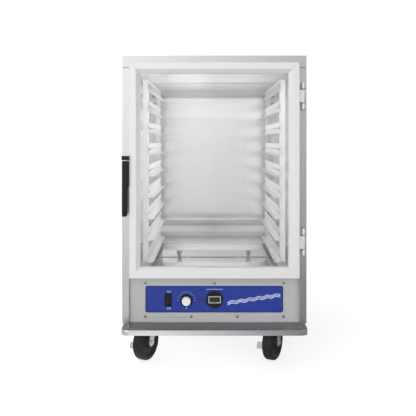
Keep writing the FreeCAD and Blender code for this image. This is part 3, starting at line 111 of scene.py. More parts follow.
def start_edit(piece, mode):
    make_active(piece)
    bpy.ops.object.mode_set(mode="EDIT")
    bpy.ops.mesh.select_mode(type=mode)
    bpy.ops.mesh.select_all(action="DESELECT")
    return bmesh.from_edit_mesh(piece.data)


def end_edit():
    bpy.ops.object.mode_set(mode="OBJECT")


def pick_faces(piece, test):
    """Select the faces whose middle and normal pass a test, and stay in edit mode."""
    shape = start_edit(piece, "FACE")
    for face in shape.faces:
        if test(face.calc_center_median() / MM, face.normal):
            face.select_set(True)
    bmesh.update_edit_mesh(piece.data)


def pick_edges(piece, test):
    """Select the edges whose two ends pass a test, and stay in edit mode."""
    shape = start_edit(piece, "EDGE")
    for edge in shape.edges:
        if test(edge.verts[0].co / MM, edge.verts[1].co / MM):
            edge.select_set(True)
    bmesh.update_edit_mesh(piece.data)


def slide_points(piece, test, shift):
    """Move the corners that pass a test."""
    shape = start_edit(piece, "VERT")
    for corner in shape.verts:
        if test(corner.co / MM):
            corner.select_set(True)
    bmesh.update_edit_mesh(piece.data)
    bpy.ops.transform.translate(value=Vector(shift) * MM)
    end_edit()


def add_block(name, low, high):
    """A cube drawn out between two corners."""
    clear_selection()
    low, high = Vector(low) * MM, Vector(high) * MM
    bpy.ops.mesh.primitive_cube_add(size=1, location=(low + high) / 2)
    piece = bpy.context.object
    piece.name = name
    piece.scale = high - low
    settle(piece)
    return piece


def add_disc(name, centre, radius, depth, turn=(0, 0, 0), sides=48):
    """A round blank about its centre."""
    clear_selection()
    bpy.ops.mesh.primitive_cylinder_add(
        vertices=sides, radius=radius * MM, depth=depth * MM,
        location=Vector(centre) * MM, rotation=turn,
    )
    piece = bpy.context.object
    piece.name = name
    settle(piece)
    return piece


def soften(piece, width, segments=3, angle=30):
    """Round the sharp edges and keep the result in the mesh."""
    make_active(piece)
    bevel = piece.modifiers.new("Bevel", "BEVEL")
    bevel.width = width * MM
    bevel.segments = segments
    bevel.limit_method = "ANGLE"
    bevel.angle_limit = radians(angle)
    bpy.ops.object.modifier_apply(modifier=bevel.name)


def copy_to(piece, name, shift, turn=0.0, axis="Y"):
    """A copy with its own mesh, turned about the origin and then moved."""
    make_active(piece)
    bpy.ops.object.duplicate(linked=False)
    twin = bpy.context.object
    twin.name = name
    twin.matrix_world = Matrix.Translation(Vector(shift) * MM) @ Matrix.Rotation(turn, 4, axis)
    settle(twin)
    return twin


def remove(piece):
    bpy.data.objects.remove(piece)


def join(name, pieces):
    make_active(pieces[0])
    for piece in pieces:
        piece.select_set(True)
    bpy.ops.object.join()
    joined = bpy.context.object
    joined.name = name
    return joined


def finish(piece, body, material, slot, *replaced, angle=35):
    """Clean, smooth and paint a modelled piece, and hang it on its body."""
    settle(piece)
    bpy.ops.object.mode_set(mode="EDIT")
    bpy.ops.mesh.select_all(action="SELECT")
    bpy.ops.mesh.remove_doubles(threshold=DOUBLES * MM)
    bpy.ops.mesh.dissolve_degenerate(threshold=DOUBLES * MM)
    bpy.ops.mesh.normals_make_consistent(inside=False)
    bpy.ops.object.mode_set(mode="OBJECT")
    bpy.ops.object.shade_smooth_by_angle(angle=radians(angle))
    piece.data.materials.clear()
    piece.data.materials.append(material)
    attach(piece, body)
    if replaced:
        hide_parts(*replaced)
    return piece


# Finishes
def new_finish(name, colour, metallic, roughness):
    material = bpy.data.materials.new(name)
    material.use_nodes = True
    shader = material.node_tree.nodes["Principled BSDF"]
    shader.inputs["Base Color"].default_value = (*colour, 1)
    shader.inputs["Metallic"].default_value = metallic
    shader.inputs["Roughness"].default_value = roughness
    return material, material.node_tree, shader


def add_noise(tree, scale, stretch=(1, 1, 1), detail=3.0):
    """Noise on the object's own coordinates, stretched along its grain."""
    place = tree.nodes.new("ShaderNodeTexCoord")
    mapping = tree.nodes.new("ShaderNodeMapping")
    mapping.inputs["Scale"].default_value = stretch
    noise = tree.nodes.new("ShaderNodeTexNoise")
    noise.inputs["Scale"].default_value = scale
    noise.inputs["Detail"].default_value = detail
    tree.links.new(place.outputs["Object"], mapping.inputs["Vector"])
    tree.links.new(mapping.outputs["Vector"], noise.inputs["Vector"])
    return noise.outputs["Fac"]


def add_ramp(tree, source, low, high, dark, light):
    ramp = tree.nodes.new("ShaderNodeValToRGB")
    ramp.color_ramp.elements[0].position = low
    ramp.color_ramp.elements[0].color = (*dark, 1)
    ramp.color_ramp.elements[1].position = high
    ramp.color_ramp.elements[1].color = (*light, 1)
    tree.links.new(source, ramp.inputs["Fac"])
    return ramp.outputs["Color"]


def spread(tree, source, low, high, start=0.3, end=0.7):
    """Map a band of a value onto another one."""
    node = tree.nodes.new("ShaderNodeMapRange")
    for socket, value in zip(("From Min", "From Max", "To Min", "To Max"), (start, end, low, high)):
        node.inputs[socket].default_value = value
    tree.links.new(source, node.inputs["Value"])
    return node.outputs["Result"]


def places(tree, kind="Object"):
    """The X, Y and Z of a place on the object or, with Generated, of a direction of the world."""
    place = tree.nodes.new("ShaderNodeTexCoord")
    parts = tree.nodes.new("ShaderNodeSeparateXYZ")
    tree.links.new(place.outputs[kind], parts.inputs["Vector"])
    return parts.outputs


def combine(tree, operation, first, second):
    node = tree.nodes.new("ShaderNodeMath")
    node.operation = operation
    tree.links.new(first, node.inputs[0])
    tree.links.new(second, node.inputs[1])
    return node.outputs["Value"]


def add_bump(tree, shader, layers):
    """Stack bumps, each a height source with its depth in millimetres."""
    normal = None
    for source, depth in layers:
        bump = tree.nodes.new("ShaderNodeBump")
        bump.inputs["Strength"].default_value = 1.0
        bump.inputs["Distance"].default_value = depth * MM
        tree.links.new(source, bump.inputs["Height"])
        if normal:
            tree.links.new(normal, bump.inputs["Normal"])
        normal = bump.outputs["Normal"]
    tree.links.new(normal, shader.inputs["Normal"])


def tint(colour, factor):
    return tuple(channel * factor for channel in colour)


def smear(tree, shader, along, amount):
    """Draw reflections out along one direction of the object, across the brushing."""
    direction = tree.nodes.new("ShaderNodeCombineXYZ")
    for socket, value in zip(direction.inputs, along):
        socket.default_value = value
    turned = tree.nodes.new("ShaderNodeVectorTransform")
    turned.convert_from, turned.convert_to = "OBJECT", "WORLD"
    tree.links.new(direction.outputs["Vector"], turned.inputs["Vector"])
    tree.links.new(turned.outputs["Vector"], shader.inputs["Tangent"])
    shader.inputs["Anisotropic"].default_value = amount


def brushed_metal(
    name, colour, roughness, grain, metallic=1.0, contrast=0.03, wave=None, along=None,
):
    """Sheet metal with a fine grain and, where given, the slow waves of a thin sheet."""
    material, tree, shader = new_finish(name, colour, metallic, roughness)
    if along:
        smear(tree, shader, along, 0.95)
    streaks = add_noise(tree, 1.0, grain, 4.0)
    dark, light = tint(colour, 1 - contrast), tint(colour, 1 + contrast)
    tones = add_ramp(tree, streaks, 0.35, 0.65, dark, light)
    tree.links.new(tones, shader.inputs["Base Color"])
    gloss = spread(tree, streaks, roughness - 0.05, roughness + 0.05)
    tree.links.new(gloss, shader.inputs["Roughness"])
    add_bump(tree, shader, [(add_noise(tree, 1.0, wave, 1.0), 0.7) if wave else (streaks, 0.004)])
    return material


def moulded_plastic(name, colour, roughness, grain=1800.0, depth=0.01):
    """Plastic with a fine moulded texture and a slightly uneven gloss."""
    material, tree, shader = new_finish(name, colour, 0.0, roughness)
    shader.inputs["Specular IOR Level"].default_value = 0.3
    cloud = add_noise(tree, 60.0)
    tones = add_ramp(tree, cloud, 0.3, 0.7, tint(colour, 0.9), tint(colour, 1.1))
    tree.links.new(tones, shader.inputs["Base Color"])
    gloss = spread(tree, cloud, roughness - 0.04, roughness + 0.05)
    tree.links.new(gloss, shader.inputs["Roughness"])
    add_bump(tree, shader, [(add_noise(tree, grain), depth)])
    return material


def clear_lens(name, colour, roughness):
    """Dark glossy plastic with a clear skin."""
    material, tree, shader = new_finish(name, colour, 0.0, roughness)
    shader.inputs["Coat Weight"].default_value = 0.5
    cloud = add_noise(tree, 90.0)
    tones = add_ramp(tree, cloud, 0.3, 0.7, tint(colour, 0.8), tint(colour, 1.2))
    tree.links.new(tones, shader.inputs["Base Color"])
    tree.links.new(spread(tree, cloud, roughness, roughness + 0.08), shader.inputs["Roughness"])
    return material


def pane_finish():
    """Clear pane with a faint haze that varies over it."""
    material, tree, shader = new_finish("clear_pane", (0.86, 0.90, 0.90), 0.0, 0.05)
    haze = add_noise(tree, 5.0)
    tree.links.new(spread(tree, haze, 0.04, 0.07), shader.inputs["Alpha"])
    tree.links.new(spread(tree, haze, 0.03, 0.08), shader.inputs["Roughness"])
    return material


def shade_along(material, axis, stops):
    """Darken a finish in bands along one axis, each stop a place in millimetres and a tone."""
    tree = material.node_tree
    shader = tree.nodes["Principled BSDF"]
    first, last = stops[0][0], stops[-1][0]
    share = spread(tree, places(tree)[axis], 0.0, 1.0, first * MM, last * MM)
    ramp = tree.nodes.new("ShaderNodeValToRGB")
    marks = ramp.color_ramp.elements
    while len(marks) < len(stops):
        marks.new(0.5)
    for mark, (at, tone) in zip(marks, stops):
        mark.position = (at - first) / (last - first)
        mark.color = (tone, tone, tone, 1)
    tree.links.new(share, ramp.inputs["Fac"])
    mix = tree.nodes.new("ShaderNodeMix")
    mix.data_type, mix.blend_type = "RGBA", "MULTIPLY"
    mix.inputs["Factor"].default_value = 1.0
    tree.links.new(shader.inputs["Base Color"].links[0].from_socket, mix.inputs["A"])
    tree.links.new(ramp.outputs["Color"], mix.inputs["B"])
    tree.links.new(mix.outputs["Result"], shader.inputs["Base Color"])


def back_wall_finish():
    """Bright back wall with painted reflections as darker and lighter bands at its top and foot,
    and less polished at the foot.
    """
    material = brushed_metal(
        "back_sheet", (0.97, 0.97, 0.975), 0.17, UPRIGHT_GRAIN, 1.0, 0.008, (1, 1, 6), (1, 0, 0),
    )
    # Painted reflections and shade: tone bands up the wall, from the foot through the middle to the
    # head
    foot = [
        (335, 0.40), (341, 0.44), (344, 0.56), (356, 0.60), (362, 0.86), (382, 0.86),
        (390, 0.46), (413, 0.46),
    ]
    wall = [(416, 0.95), (600, 0.90), (880, 0.90), (896, 1.0), (976, 1.0)]
    head = [(983, 0.57), (1015, 0.63)]
    shade_along(material, "Z", foot + wall + head)
    tree = material.node_tree
    polish = spread(tree, places(tree)["Z"], 0.35, 1.0, 405 * MM, 425 * MM)
    tree.links.new(polish, tree.nodes["Principled BSDF"].inputs["Metallic"])
    return material


def upright_finish():
    """Pale uprights with painted shade: darker at the rear of the cavity, towards the foot and on
    their standoffs.
    """
    material = brushed_metal("upright_metal", (0.94, 0.94, 0.945), 0.40, UPRIGHT_GRAIN, 0.1, 0.02)
    wall, standoff, web, shaded_tone = 286, 255, 253.5, 0.62
    # Painted shade: the rear uprights, the lower ends and the standoffs are darkened
    shade_along(material, "Y", [(-320, 1.0), (-200, 1.0), (200, shaded_tone), (380, shaded_tone)])
    shade_along(material, "Z", [(340, 0.76), (480, 0.78), (760, 0.86), (900, 1.0), (1015, 1.0)])
    left = [(-wall, shaded_tone), (-standoff, shaded_tone), (-web, 1.0)]
    right = [(web, 1.0), (standoff, shaded_tone), (wall, shaded_tone)]
    shade_along(material, "X", left + right)
    return material


def stile_finish():
    """Body sheet for the front stiles, with painted shade making it a little darker towards the
    foot.
    """
    material = brushed_metal("stile_sheet", (0.84, 0.84, 0.845), 0.30, UPRIGHT_GRAIN)
    # Painted shade towards the foot of the stiles
    foot = [(180, 0.86), (300, 0.84), (420, 0.92), (600, 0.98)]
    shade_along(material, "Z", foot + [(740, 1.0), (1077, 1.0)])
    return material


def pan_finish():
    """Polished base pan, bright on the lip; on the deck rougher, less metallic and darkened with
    painted shade.
    """
    bright, shaded_tone = (0.92, 0.92, 0.93), (0.20, 0.20, 0.20)
    material, tree, shader = new_finish("base_pan_sheet", bright, 1.0, 0.22)
    on_deck = spread(tree, places(tree)["Z"], 0.0, 1.0, (DECK - 0.9) * MM, (DECK - 0.2) * MM)
    # Painted shade: the deck's colour is darkened below the lip's
    tree.links.new(add_ramp(tree, on_deck, 0.2, 0.8, bright, shaded_tone), shader.inputs["Base Color"])
    streaks = add_noise(tree, 1.0, LEVEL_GRAIN, 4.0)
    tree.links.new(spread(tree, on_deck, 1.0, 0.4, 0.0, 1.0), shader.inputs["Metallic"])
    brushing = spread(tree, streaks, 0.17, 0.27)
    wear = spread(tree, on_deck, 0.0, 0.2, 0.0, 1.0)
    tree.links.new(combine(tree, "ADD", brushing, wear), shader.inputs["Roughness"])
    add_bump(tree, shader, [(streaks, 0.004), (add_noise(tree, 1.0, (4, 4, 40), 1.0), 0.5)])
    return material


body_sheet = brushed_metal("body_sheet", (0.84, 0.84, 0.845), 0.30, UPRIGHT_GRAIN)
stile_sheet = stile_finish()
rail_sheet = brushed_metal("rail_sheet", (0.86, 0.86, 0.865), 0.34, LEVEL_GRAIN)
panel_sheet = brushed_metal("panel_sheet", (0.455, 0.455, 0.46), 0.46, LEVEL_GRAIN, 0.3)
base_sheet = pan_finish()
back_sheet = back_wall_finish()
ceiling_sheet = brushed_metal(
    "ceiling_sheet", (0.91, 0.91, 0.92), 0.24, LEVEL_GRAIN, 0.5, 0.008, (1, 6, 1), (1, 0, 0),
)
side_sheet = brushed_metal(
    "side_sheet", (0.97, 0.97, 0.975), 0.26, UPRIGHT_GRAIN, 0.12, 0.008, (1, 1, 6), (0, 1, 0),
)
floor_sheet = brushed_metal(
    "floor_sheet", (0.70, 0.70, 0.71), 0.14, LEVEL_GRAIN, 1.0, 0.015, (2, 2, 2),
)
slide_metal = brushed_metal("slide_metal", (0.74, 0.74, 0.745), 0.34, DEPTH_GRAIN, 0.4, 0.02)
upright_metal = upright_finish()
door_level = brushed_metal("door_level", (0.725, 0.725, 0.727), 0.46, LEVEL_GRAIN, 0.4, 0.02)
door_upright = brushed_metal("door_upright", (0.725, 0.725, 0.727), 0.46, UPRIGHT_GRAIN, 0.4, 0.02)
hinge_sheet = brushed_metal("hinge_sheet", (0.68, 0.68, 0.685), 0.46, UPRIGHT_GRAIN, 0.5)
zinc_plate = brushed_metal("zinc_plate", (0.86, 0.86, 0.87), 0.34, (140, 140, 140), 1.0, 0.1)
dull_steel = brushed_metal("dull_steel", (0.28, 0.28, 0.28), 0.3, (300, 300, 300))
screw_steel = brushed_metal("screw_steel", (0.50, 0.50, 0.50), 0.16, (300, 300, 300))
heater_steel = brushed_metal("heater_steel", (0.22, 0.21, 0.2), 0.45, (200, 200, 200), 1.0, 0.2)
black_plastic = moulded_plastic("black_plastic", (0.009, 0.009, 0.010), 0.5)
meter_plastic = moulded_plastic("meter_plastic", (0.008, 0.010, 0.008), 0.42)
white_plastic = moulded_plastic("white_plastic", (0.70, 0.70, 0.685), 0.30, 900.0, 0.003)
frame_plastic = moulded_plastic("frame_plastic", (0.36, 0.37, 0.345), 0.42)
blue_film = moulded_plastic("blue_film", (0.0165, 0.037, 0.25), 0.42, 2600.0, 0.002)
border_ink = moulded_plastic("border_ink", (0.010, 0.016, 0.050), 0.45, 2600.0, 0.002)
white_ink = moulded_plastic("white_ink", (0.70, 0.74, 0.86), 0.5, 2600.0, 0.002)
pale_ink = moulded_plastic("pale_ink", (0.40, 0.45, 0.64), 0.5, 2600.0, 0.002)
wheel_rubber = moulded_plastic("wheel_rubber", (0.017, 0.017, 0.017), 0.44, 700.0, 0.02)
gasket_rubber = moulded_plastic("gasket_rubber", (0.34, 0.34, 0.35), 0.6, 1200.0, 0.01)
insulation_wool = moulded_plastic("insulation_wool", (0.07, 0.065, 0.055), 0.9, 160.0, 1.5)
clear_pane = pane_finish()
red_lens = clear_lens("red_lens", (0.050, 0.012, 0.030), 0.25)
smoked_window = clear_lens("smoked_window", (0.014, 0.017, 0.012), 0.15)


# Solids that keep their shape: finish and softened edges
def dress(node, material, edge):
    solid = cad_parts[node]
    solid.data.materials.clear()
    solid.data.materials.append(material)
    if edge:
        weld = solid.modifiers.new("Weld", "WELD")
        weld.merge_threshold = 0.01 * MM
        bevel = solid.modifiers.new("Bevel", "BEVEL")
        bevel.width = edge * MM
        bevel.segments = 2
        bevel.limit_method = "ANGLE"
        bevel.angle_limit = radians(30)
        bevel.harden_normals = True


DRESSED = [
    (body_sheet, 0.5, "side_skins back_skin"),
    (stile_sheet, 0.0, "front_stiles"),
    (rail_sheet, 0.5, "top_skin front_top_rail sill_rail strike_plate"),
    (panel_sheet, 0.4, "control_panel"),
    (base_sheet, 0.6, "base_pan base_channel"),
    (back_sheet, 0.4, "back_liner"),
    (ceiling_sheet, 0.4, "ceiling_liner"),
    (side_sheet, 0.4, "side_liners"),
    (floor_sheet, 0.3, "cavity_floor heater_cover"),
    (upright_metal, 0.5, "rack_uprights"),
    (slide_metal, 0.5, "tray_slides"),
    (door_level, 0.6, "door_top_rail door_bottom_rail"),
    (door_upright, 0.6, "door_left_stile door_right_stile"),
    (clear_pane, 0.0, "door_pane"),
    (hinge_sheet, 0.6, "hinge_frame_leaves hinge_door_leaves"),
    (zinc_plate, 0.6, "latch_base caster_plates caster_bolts panel_brackets"),
    (zinc_plate, 0.6, "front_left_fork front_right_fork rear_left_fork rear_right_fork"),
    (zinc_plate, 0.5, "front_left_brake_pedal front_right_brake_pedal"),
    (dull_steel, 0.4, "cover_wing_screws"),
    (heater_steel, 0.0, "heating_element"),
    (zinc_plate, 0.3, "fan_motor fan_impeller"),
    (blue_film, 0.15, "panel_overlay"),
    (black_plastic, 0.8, "latch_cap switch_housing"),
    (meter_plastic, 0.8, "thermometer_case"),
    (black_plastic, 0.5, "thermostat_body power_inlet"),
    (frame_plastic, 0.5, "thermometer_bezel"),
    (smoked_window, 0.2, "thermometer_window"),
    (red_lens, 1.4, "pilot_lamp"),
    (insulation_wool, 0.0, "insulation_slabs"),
]
for material, edge, names in DRESSED:
    for node in names.split():
        dress(node, material, edge)


# Latch lever: a broad upper body that steps in on its right to a rounded grip
def make_lever():
    left, right, grip_right = -313.0, -290.0, -294.5
    front, back = -409.2, -394.4
    lever = add_block("lever_grip", (left, front, GRIP_STEP), (right, back, GRIP_TOP))
    steps = [
        # drop, shift of the right side, of the front and of the back
        (7, 0, 0, 0),
        (6, grip_right - right, -0.6, -0.4),
        (26, 0, -1.2, -0.6),
        (46, 0, 0, -0.4),
        (16, -0.4, 0.5, -0.4),
        (7, -1.6, 2.2, -1.6),
        (3, -3.0, 2.8, -2.0),
    ]
    level = GRIP_STEP
    middle_x, middle_y = (left + grip_right) / 2, (front + back) / 2
    for drop, inward, forward, rearward in steps:
        pick_faces(lever, lambda middle, normal: normal.z < -0.7 and middle.z < level + 1)
        bpy.ops.mesh.extrude_region_move(TRANSFORM_OT_translate={"value": (0, 0, -drop * MM)})
        end_edit()
        level -= drop
        slide_points(lever, lambda at: at.z < level + 0.5 and at.x > middle_x, (inward, 0, 0))
        slide_points(lever, lambda at: at.z < level + 0.5 and at.y < middle_y, (0, forward, 0))
        slide_points(lever, lambda at: at.z < level + 0.5 and at.y > middle_y, (0, rearward, 0))
    soften(lever, 2.6, 4, 40)
    finish(lever, "latch_lever", black_plastic, "black_plastic", "latch_lever", angle=50)


# Knob: dished black skirt, fluted white cap and a pointer line
def make_knob():
    depth = SKIRT_BACK - CAP_BACK
    middle = (KNOB_X, CAP_BACK + depth / 2, KNOB_Z)
    skirt = add_disc("knob_skirt_disc", middle, 21.5, depth, FACING_FRONT, 72)
    pick_faces(skirt, lambda middle, normal: normal.y < -0.9)
    bpy.ops.mesh.inset(thickness=2.4 * MM, depth=0.0)
    bpy.ops.mesh.inset(thickness=3.6 * MM, depth=-1.0 * MM)
    end_edit()
    soften(skirt, 0.8)
    finish(skirt, "knob", black_plastic, "black_plastic", "knob_skirt")

    depth, rim = CAP_BACK - CAP_FRONT, 0.3
    middle = (KNOB_X, CAP_FRONT + depth / 2 + rim, KNOB_Z)
    cap = add_disc("knob_cap_round", middle, 15, depth - 2 * rim, FACING_FRONT, KNOB_FACETS)
    pick_faces(cap, lambda middle, normal: normal.y < -0.9)
    bpy.ops.mesh.inset(thickness=2.0 * MM, depth=rim * MM)
    bpy.ops.mesh.inset(thickness=5.0 * MM, depth=-0.8 * MM)
    end_edit()

    def is_flute(middle, normal):
        across, up = middle.x - KNOB_X, middle.z - KNOB_Z
        on_side = abs(normal.y) < 0.3 and Vector((across, up)).length > 14
        facet = int(round(atan2(up, across) / (2 * pi) * KNOB_FACETS - 0.5))
        return on_side and facet % 3 == 0

    pick_faces(cap, is_flute)
    bpy.ops.mesh.inset(thickness=0.25 * MM, depth=-0.5 * MM, use_individual=True)
    end_edit()
    soften(cap, 0.12, 2)
    finish(cap, "knob", white_plastic, "white_plastic", "knob_cap")

    foot = (KNOB_X - 0.5, CAP_FRONT, KNOB_Z + 9)
    head = (KNOB_X + 0.5, CAP_FRONT + 0.6, KNOB_Z + 13)
    line = add_block("knob_pointer", foot, head)
    soften(line, 0.15, 2)
    finish(line, "knob", black_plastic, "black_plastic")


# Rocker: a dished paddle that rests with one end pressed in
def make_rocker():
    wide, tall = 7.7, 15.9
    paddle = add_block("rocker_paddle", (-wide, -7.4, -tall), (wide, 0, tall))
    pick_edges(paddle, lambda a, b: abs(a.z - b.z) > 20)
    bpy.ops.mesh.subdivide(number_cuts=7)
    end_edit()
    for row in range(1, 8):
        height = -tall + row * tall / 4
        dip = 3.0 * (1 - (height / tall) ** 2)
        slide_points(paddle, lambda at: at.y < -7 and abs(at.z - height) < 0.1, (0, dip, 0))
    soften(paddle, 0.6, 3, 40)
    turned = copy_to(paddle, "rocker_face", (SWITCH_X, ROCKER_PIVOT_Y, SWITCH_Z), radians(-8), "X")
    remove(paddle)
    finish(turned, "rocker", black_plastic, "black_plastic", "rocker", angle=30)


# Screws with domed heads and a cross recess
def make_screw_head():
    head = add_disc("screw_head", (0, 0, 1.45), 4.8, 2.9, (0, 0, 0), 28)
    pick_edges(head, lambda a, b: a.z > 2.8 and b.z > 2.8)
    bpy.ops.mesh.bevel(offset=2.5 * MM, segments=6, affect="EDGES")
    end_edit()
    for turn in (0, 90):
        slot = add_block("screw_slot", (-2.4, -0.45, 1.5), (2.4, 0.45, 4))
        slot.rotation_euler.z = radians(turn)
        settle(slot)
        make_active(head)
        carve = head.modifiers.new("Slot", "BOOLEAN")
        carve.object = slot
        carve.operation = "DIFFERENCE"
        carve.solver = "EXACT"
        bpy.ops.object.modifier_apply(modifier=carve.name)
        remove(slot)
    return head


def make_screws():
    head = make_screw_head()
    forward = []
    for number, (x, z) in enumerate(PANEL_SCREWS):
        spun = copy_to(head, f"panel_screw_spun_{number}", (0, 0, 0), radians(17 * number), "Z")
        place = (x, PANEL_FRONT, z)
        forward.append(copy_to(spun, f"panel_screw_{number}", place, radians(90), "X"))
        remove(spun)
    heads = join("panel_screw_heads", forward)
    finish(heads, "cabinet", screw_steel, "zinc_steel", "panel_screws", angle=30)
    upward = []
    for number, (x, y) in enumerate(LEDGE_SCREWS):
        upward.append(copy_to(head, f"base_screw_{number}", (x, y, DECK)))
    heads = join("base_screw_heads", upward)
    finish(heads, "cabinet", screw_steel, "zinc_steel", "base_screws", angle=30)
    remove(head)


# Domed rivets that hold the slides on the uprights
def make_rivets():
    clear_selection()
    bpy.ops.mesh.primitive_uv_sphere_add(segments=12, ring_count=8, radius=5 * MM, rotation=ALONG_X)
    dome = bpy.context.object
    dome.scale.z = 0.4
    settle(dome)
    bpy.ops.object.mode_set(mode="EDIT")
    bpy.ops.mesh.select_all(action="SELECT")
    bpy.ops.mesh.bisect(plane_co=(0, 0, 0), plane_no=(1, 0, 0), clear_outer=True, use_fill=True)
    end_edit()
    heads = []
    for side, turn in ((1, 0), (-1, pi)):
        for y in RIVET_ROWS:
            for z in SLIDE_LEVELS:
                place = (side * SLIDE_WEB_X, y, z)
                heads.append(copy_to(dome, f"rivet_{len(heads)}", place, turn, "Z"))
    remove(dome)
    finish(join("slide_rivet_heads", heads), "cabinet", dull_steel, "zinc_steel", "slide_rivets")


# Wheels: rounded tread, recessed web and a raised hub
def make_wheels():
    blank = add_disc("wheel_blank", (0, 0, 0), WHEEL_RADIUS, WHEEL_WIDTH, ALONG_X, 80)
    edge = WHEEL_WIDTH / 2 - 0.1
    pick_edges(blank, lambda a, b: abs(a.x) > edge and abs(b.x) > edge and a.x * b.x > 0)
    bpy.ops.mesh.bevel(offset=9.5 * MM, segments=8, profile=0.5, affect="EDGES")
    end_edit()

    def is_middle(middle, normal):
        return abs(normal.x) > 0.98 and Vector((middle.y, middle.z)).length < 1

    # Each ring's width, and how far it steps out of the wheel's face
    rings = [
        (2.0, 0.0), (1.2, -1.2), (1.6, 0.0), (3.0, -6.5), (24.0, 0.0), (2.0, 9.0), (7.0, 0.0),
    ]
    for inward, outward in rings:
        pick_faces(blank, is_middle)
        bpy.ops.mesh.inset(thickness=inward * MM, depth=outward * MM)
        end_edit()
    soften(blank, 0.7, 2, 40)
    trail = Vector((-sin(CASTER_TURN), cos(CASTER_TURN), 0)) * CASTER_TRAIL
    for name, (x, y) in CASTERS.items():
        place = Vector((x, y, WHEEL_RADIUS)) + trail
        wheel = copy_to(blank, f"{name}_tyre", place, CASTER_TURN, "Z")
        finish(wheel, f"{name}_wheel", wheel_rubber, "wheel_rubber", f"{name}_wheel", angle=40)
    remove(blank)


# Door gasket: a soft ring with a hollowed face against the frame
def make_gasket():
    ring = add_block("gasket_ring", *GASKET_BOX)
    pick_faces(ring, lambda middle, normal: abs(normal.y) > 0.9)
    bpy.ops.mesh.inset(thickness=15 * MM)
    bpy.ops.mesh.bridge_edge_loops()
    end_edit()
    pick_faces(ring, lambda middle, normal: normal.y > 0.9)
    bpy.ops.mesh.inset(thickness=4 * MM, depth=-1.2 * MM)
    end_edit()
    soften(ring, 0.8)
    finish(ring, "door", gasket_rubber, "gasket_rubber", "door_gasket")


# Hem where the two ceiling sheets meet
def make_ceiling_hem():
    hem = add_block("ceiling_hem", *HEM_BOX)
    pick_edges(hem, lambda a, b: a.z < 1014 and b.z < 1014 and abs(a.x - b.x) > 100)
    bpy.ops.mesh.bevel(offset=0.8 * MM, segments=3, affect="EDGES")
    end_edit()
    finish(hem, "cabinet", panel_sheet, "liner_steel")


# Dark border printed round the edge of the blue film
def make_border():
    low = (-FILM_HALF_WIDTH, OVERLAY_FRONT - 0.04, FILM_BOTTOM)
    high = (FILM_HALF_WIDTH, OVERLAY_FRONT + PRINT_SUNK, FILM_TOP)
    border = add_block("film_border", low, high)
    pick_edges(border, lambda a, b: abs(a.y - b.y) > 0.01)
    bpy.ops.mesh.bevel(offset=8 * MM, segments=6, affect="EDGES")
    end_edit()
    pick_faces(border, lambda middle, normal: abs(normal.y) > 0.9)
    bpy.ops.mesh.inset(thickness=2.4 * MM)
    bpy.ops.mesh.bridge_edge_loops()
    end_edit()
    finish(border, "cabinet", border_ink, "blue_overlay")


# Marks printed on the blue film
def add_words(name, words, size, x, z):
    clear_selection()
    bpy.ops.object.text_add(location=Vector((x, OVERLAY_FRONT, z)) * MM, rotation=FACING_FRONT)
    text = bpy.context.object
    text.data.body = words
    text.data.size = size * MM
    text.data.align_x = "CENTER"
    text.data.align_y = "CENTER"
    text.data.extrude = PRINT_PROUD * MM
    text.data.offset = 0.25 * MM
    bpy.ops.object.convert(target="MESH")
    printed = bpy.context.object
    printed.name = name
    settle(printed)
    return printed


def make_marks():
    proud, sunk = OVERLAY_FRONT - PRINT_PROUD, OVERLAY_FRONT + PRINT_SUNK
    marks = [
        add_words("switch_on", "ON", 8.5, SWITCH_X + 2, 256.5),
        add_words("switch_off", "OFF", 8.5, SWITCH_X + 2, 198.0),
        add_words("dial_zero", "0", 7.0, KNOB_X, 199.0),
    ]
    tick = add_block("dial_tick", (25.0, proud, -0.4), (32.0, sunk, 0.4))
    for number in range(DIAL_TICKS):
        turn = -pi * number / (DIAL_TICKS - 1)
        marks.append(copy_to(tick, f"dial_tick_{number}", (KNOB_X, 0, KNOB_Z), turn))
    remove(tick)
    low = (METER_X - METER_STRIPE_HALF, proud, METER_STRIPE_BOTTOM)
    high = (METER_X + METER_STRIPE_HALF, sunk, METER_STRIPE_TOP)
    marks.append(add_block("meter_stripe", low, high))
    finish(join("panel_marks", marks), "cabinet", pale_ink, "white_plastic")


# Three rising heat waves on the right of the film
def make_heat_waves():
    start, end, foot, rise = 46.0, 230.0, 217.0, 28.0
    humps, height, pitch = 6, 1.9, 4.6
    step = (end - start) / (2 * humps)
    clear_selection()
    bpy.ops.curve.primitive_bezier_curve_add(location=(0, 0, 0))
    path = bpy.context.object
    spline = path.data.splines[0]
    spline.bezier_points.add(2 * humps - 1)
    lean = Vector((0.45 * step, 0, 0.45 * step * rise / (end - start))) * MM
    for number, point in enumerate(spline.bezier_points):
        lift = height if number % 2 else -height
        point.handle_left_type = point.handle_right_type = "FREE"
        level = foot + rise * number / (2 * humps) + lift
        point.co = Vector((start + step * number, 0, level)) * MM
        point.handle_left, point.handle_right = point.co - lean, point.co + lean
    path.data.bevel_depth = 0.9 * MM
    path.data.bevel_resolution = 3
    path.data.use_fill_caps = True
    path.data.resolution_u = 8
    bpy.ops.object.convert(target="MESH")
    wave = bpy.context.object
    wave.scale.y = 0.06
    settle(wave)
    waves = []
    for number in range(3):
        waves.append(copy_to(wave, f"heat_wave_{number}", (0, OVERLAY_FRONT, pitch * (number - 1))))
    remove(wave)
    finish(join("heat_waves", waves), "cabinet", white_ink, "white_plastic")


make_lever()
make_knob()
make_rocker()
make_screws()
make_rivets()
make_wheels()
make_gasket()
make_ceiling_hem()
make_border()
make_marks()
make_heat_waves()


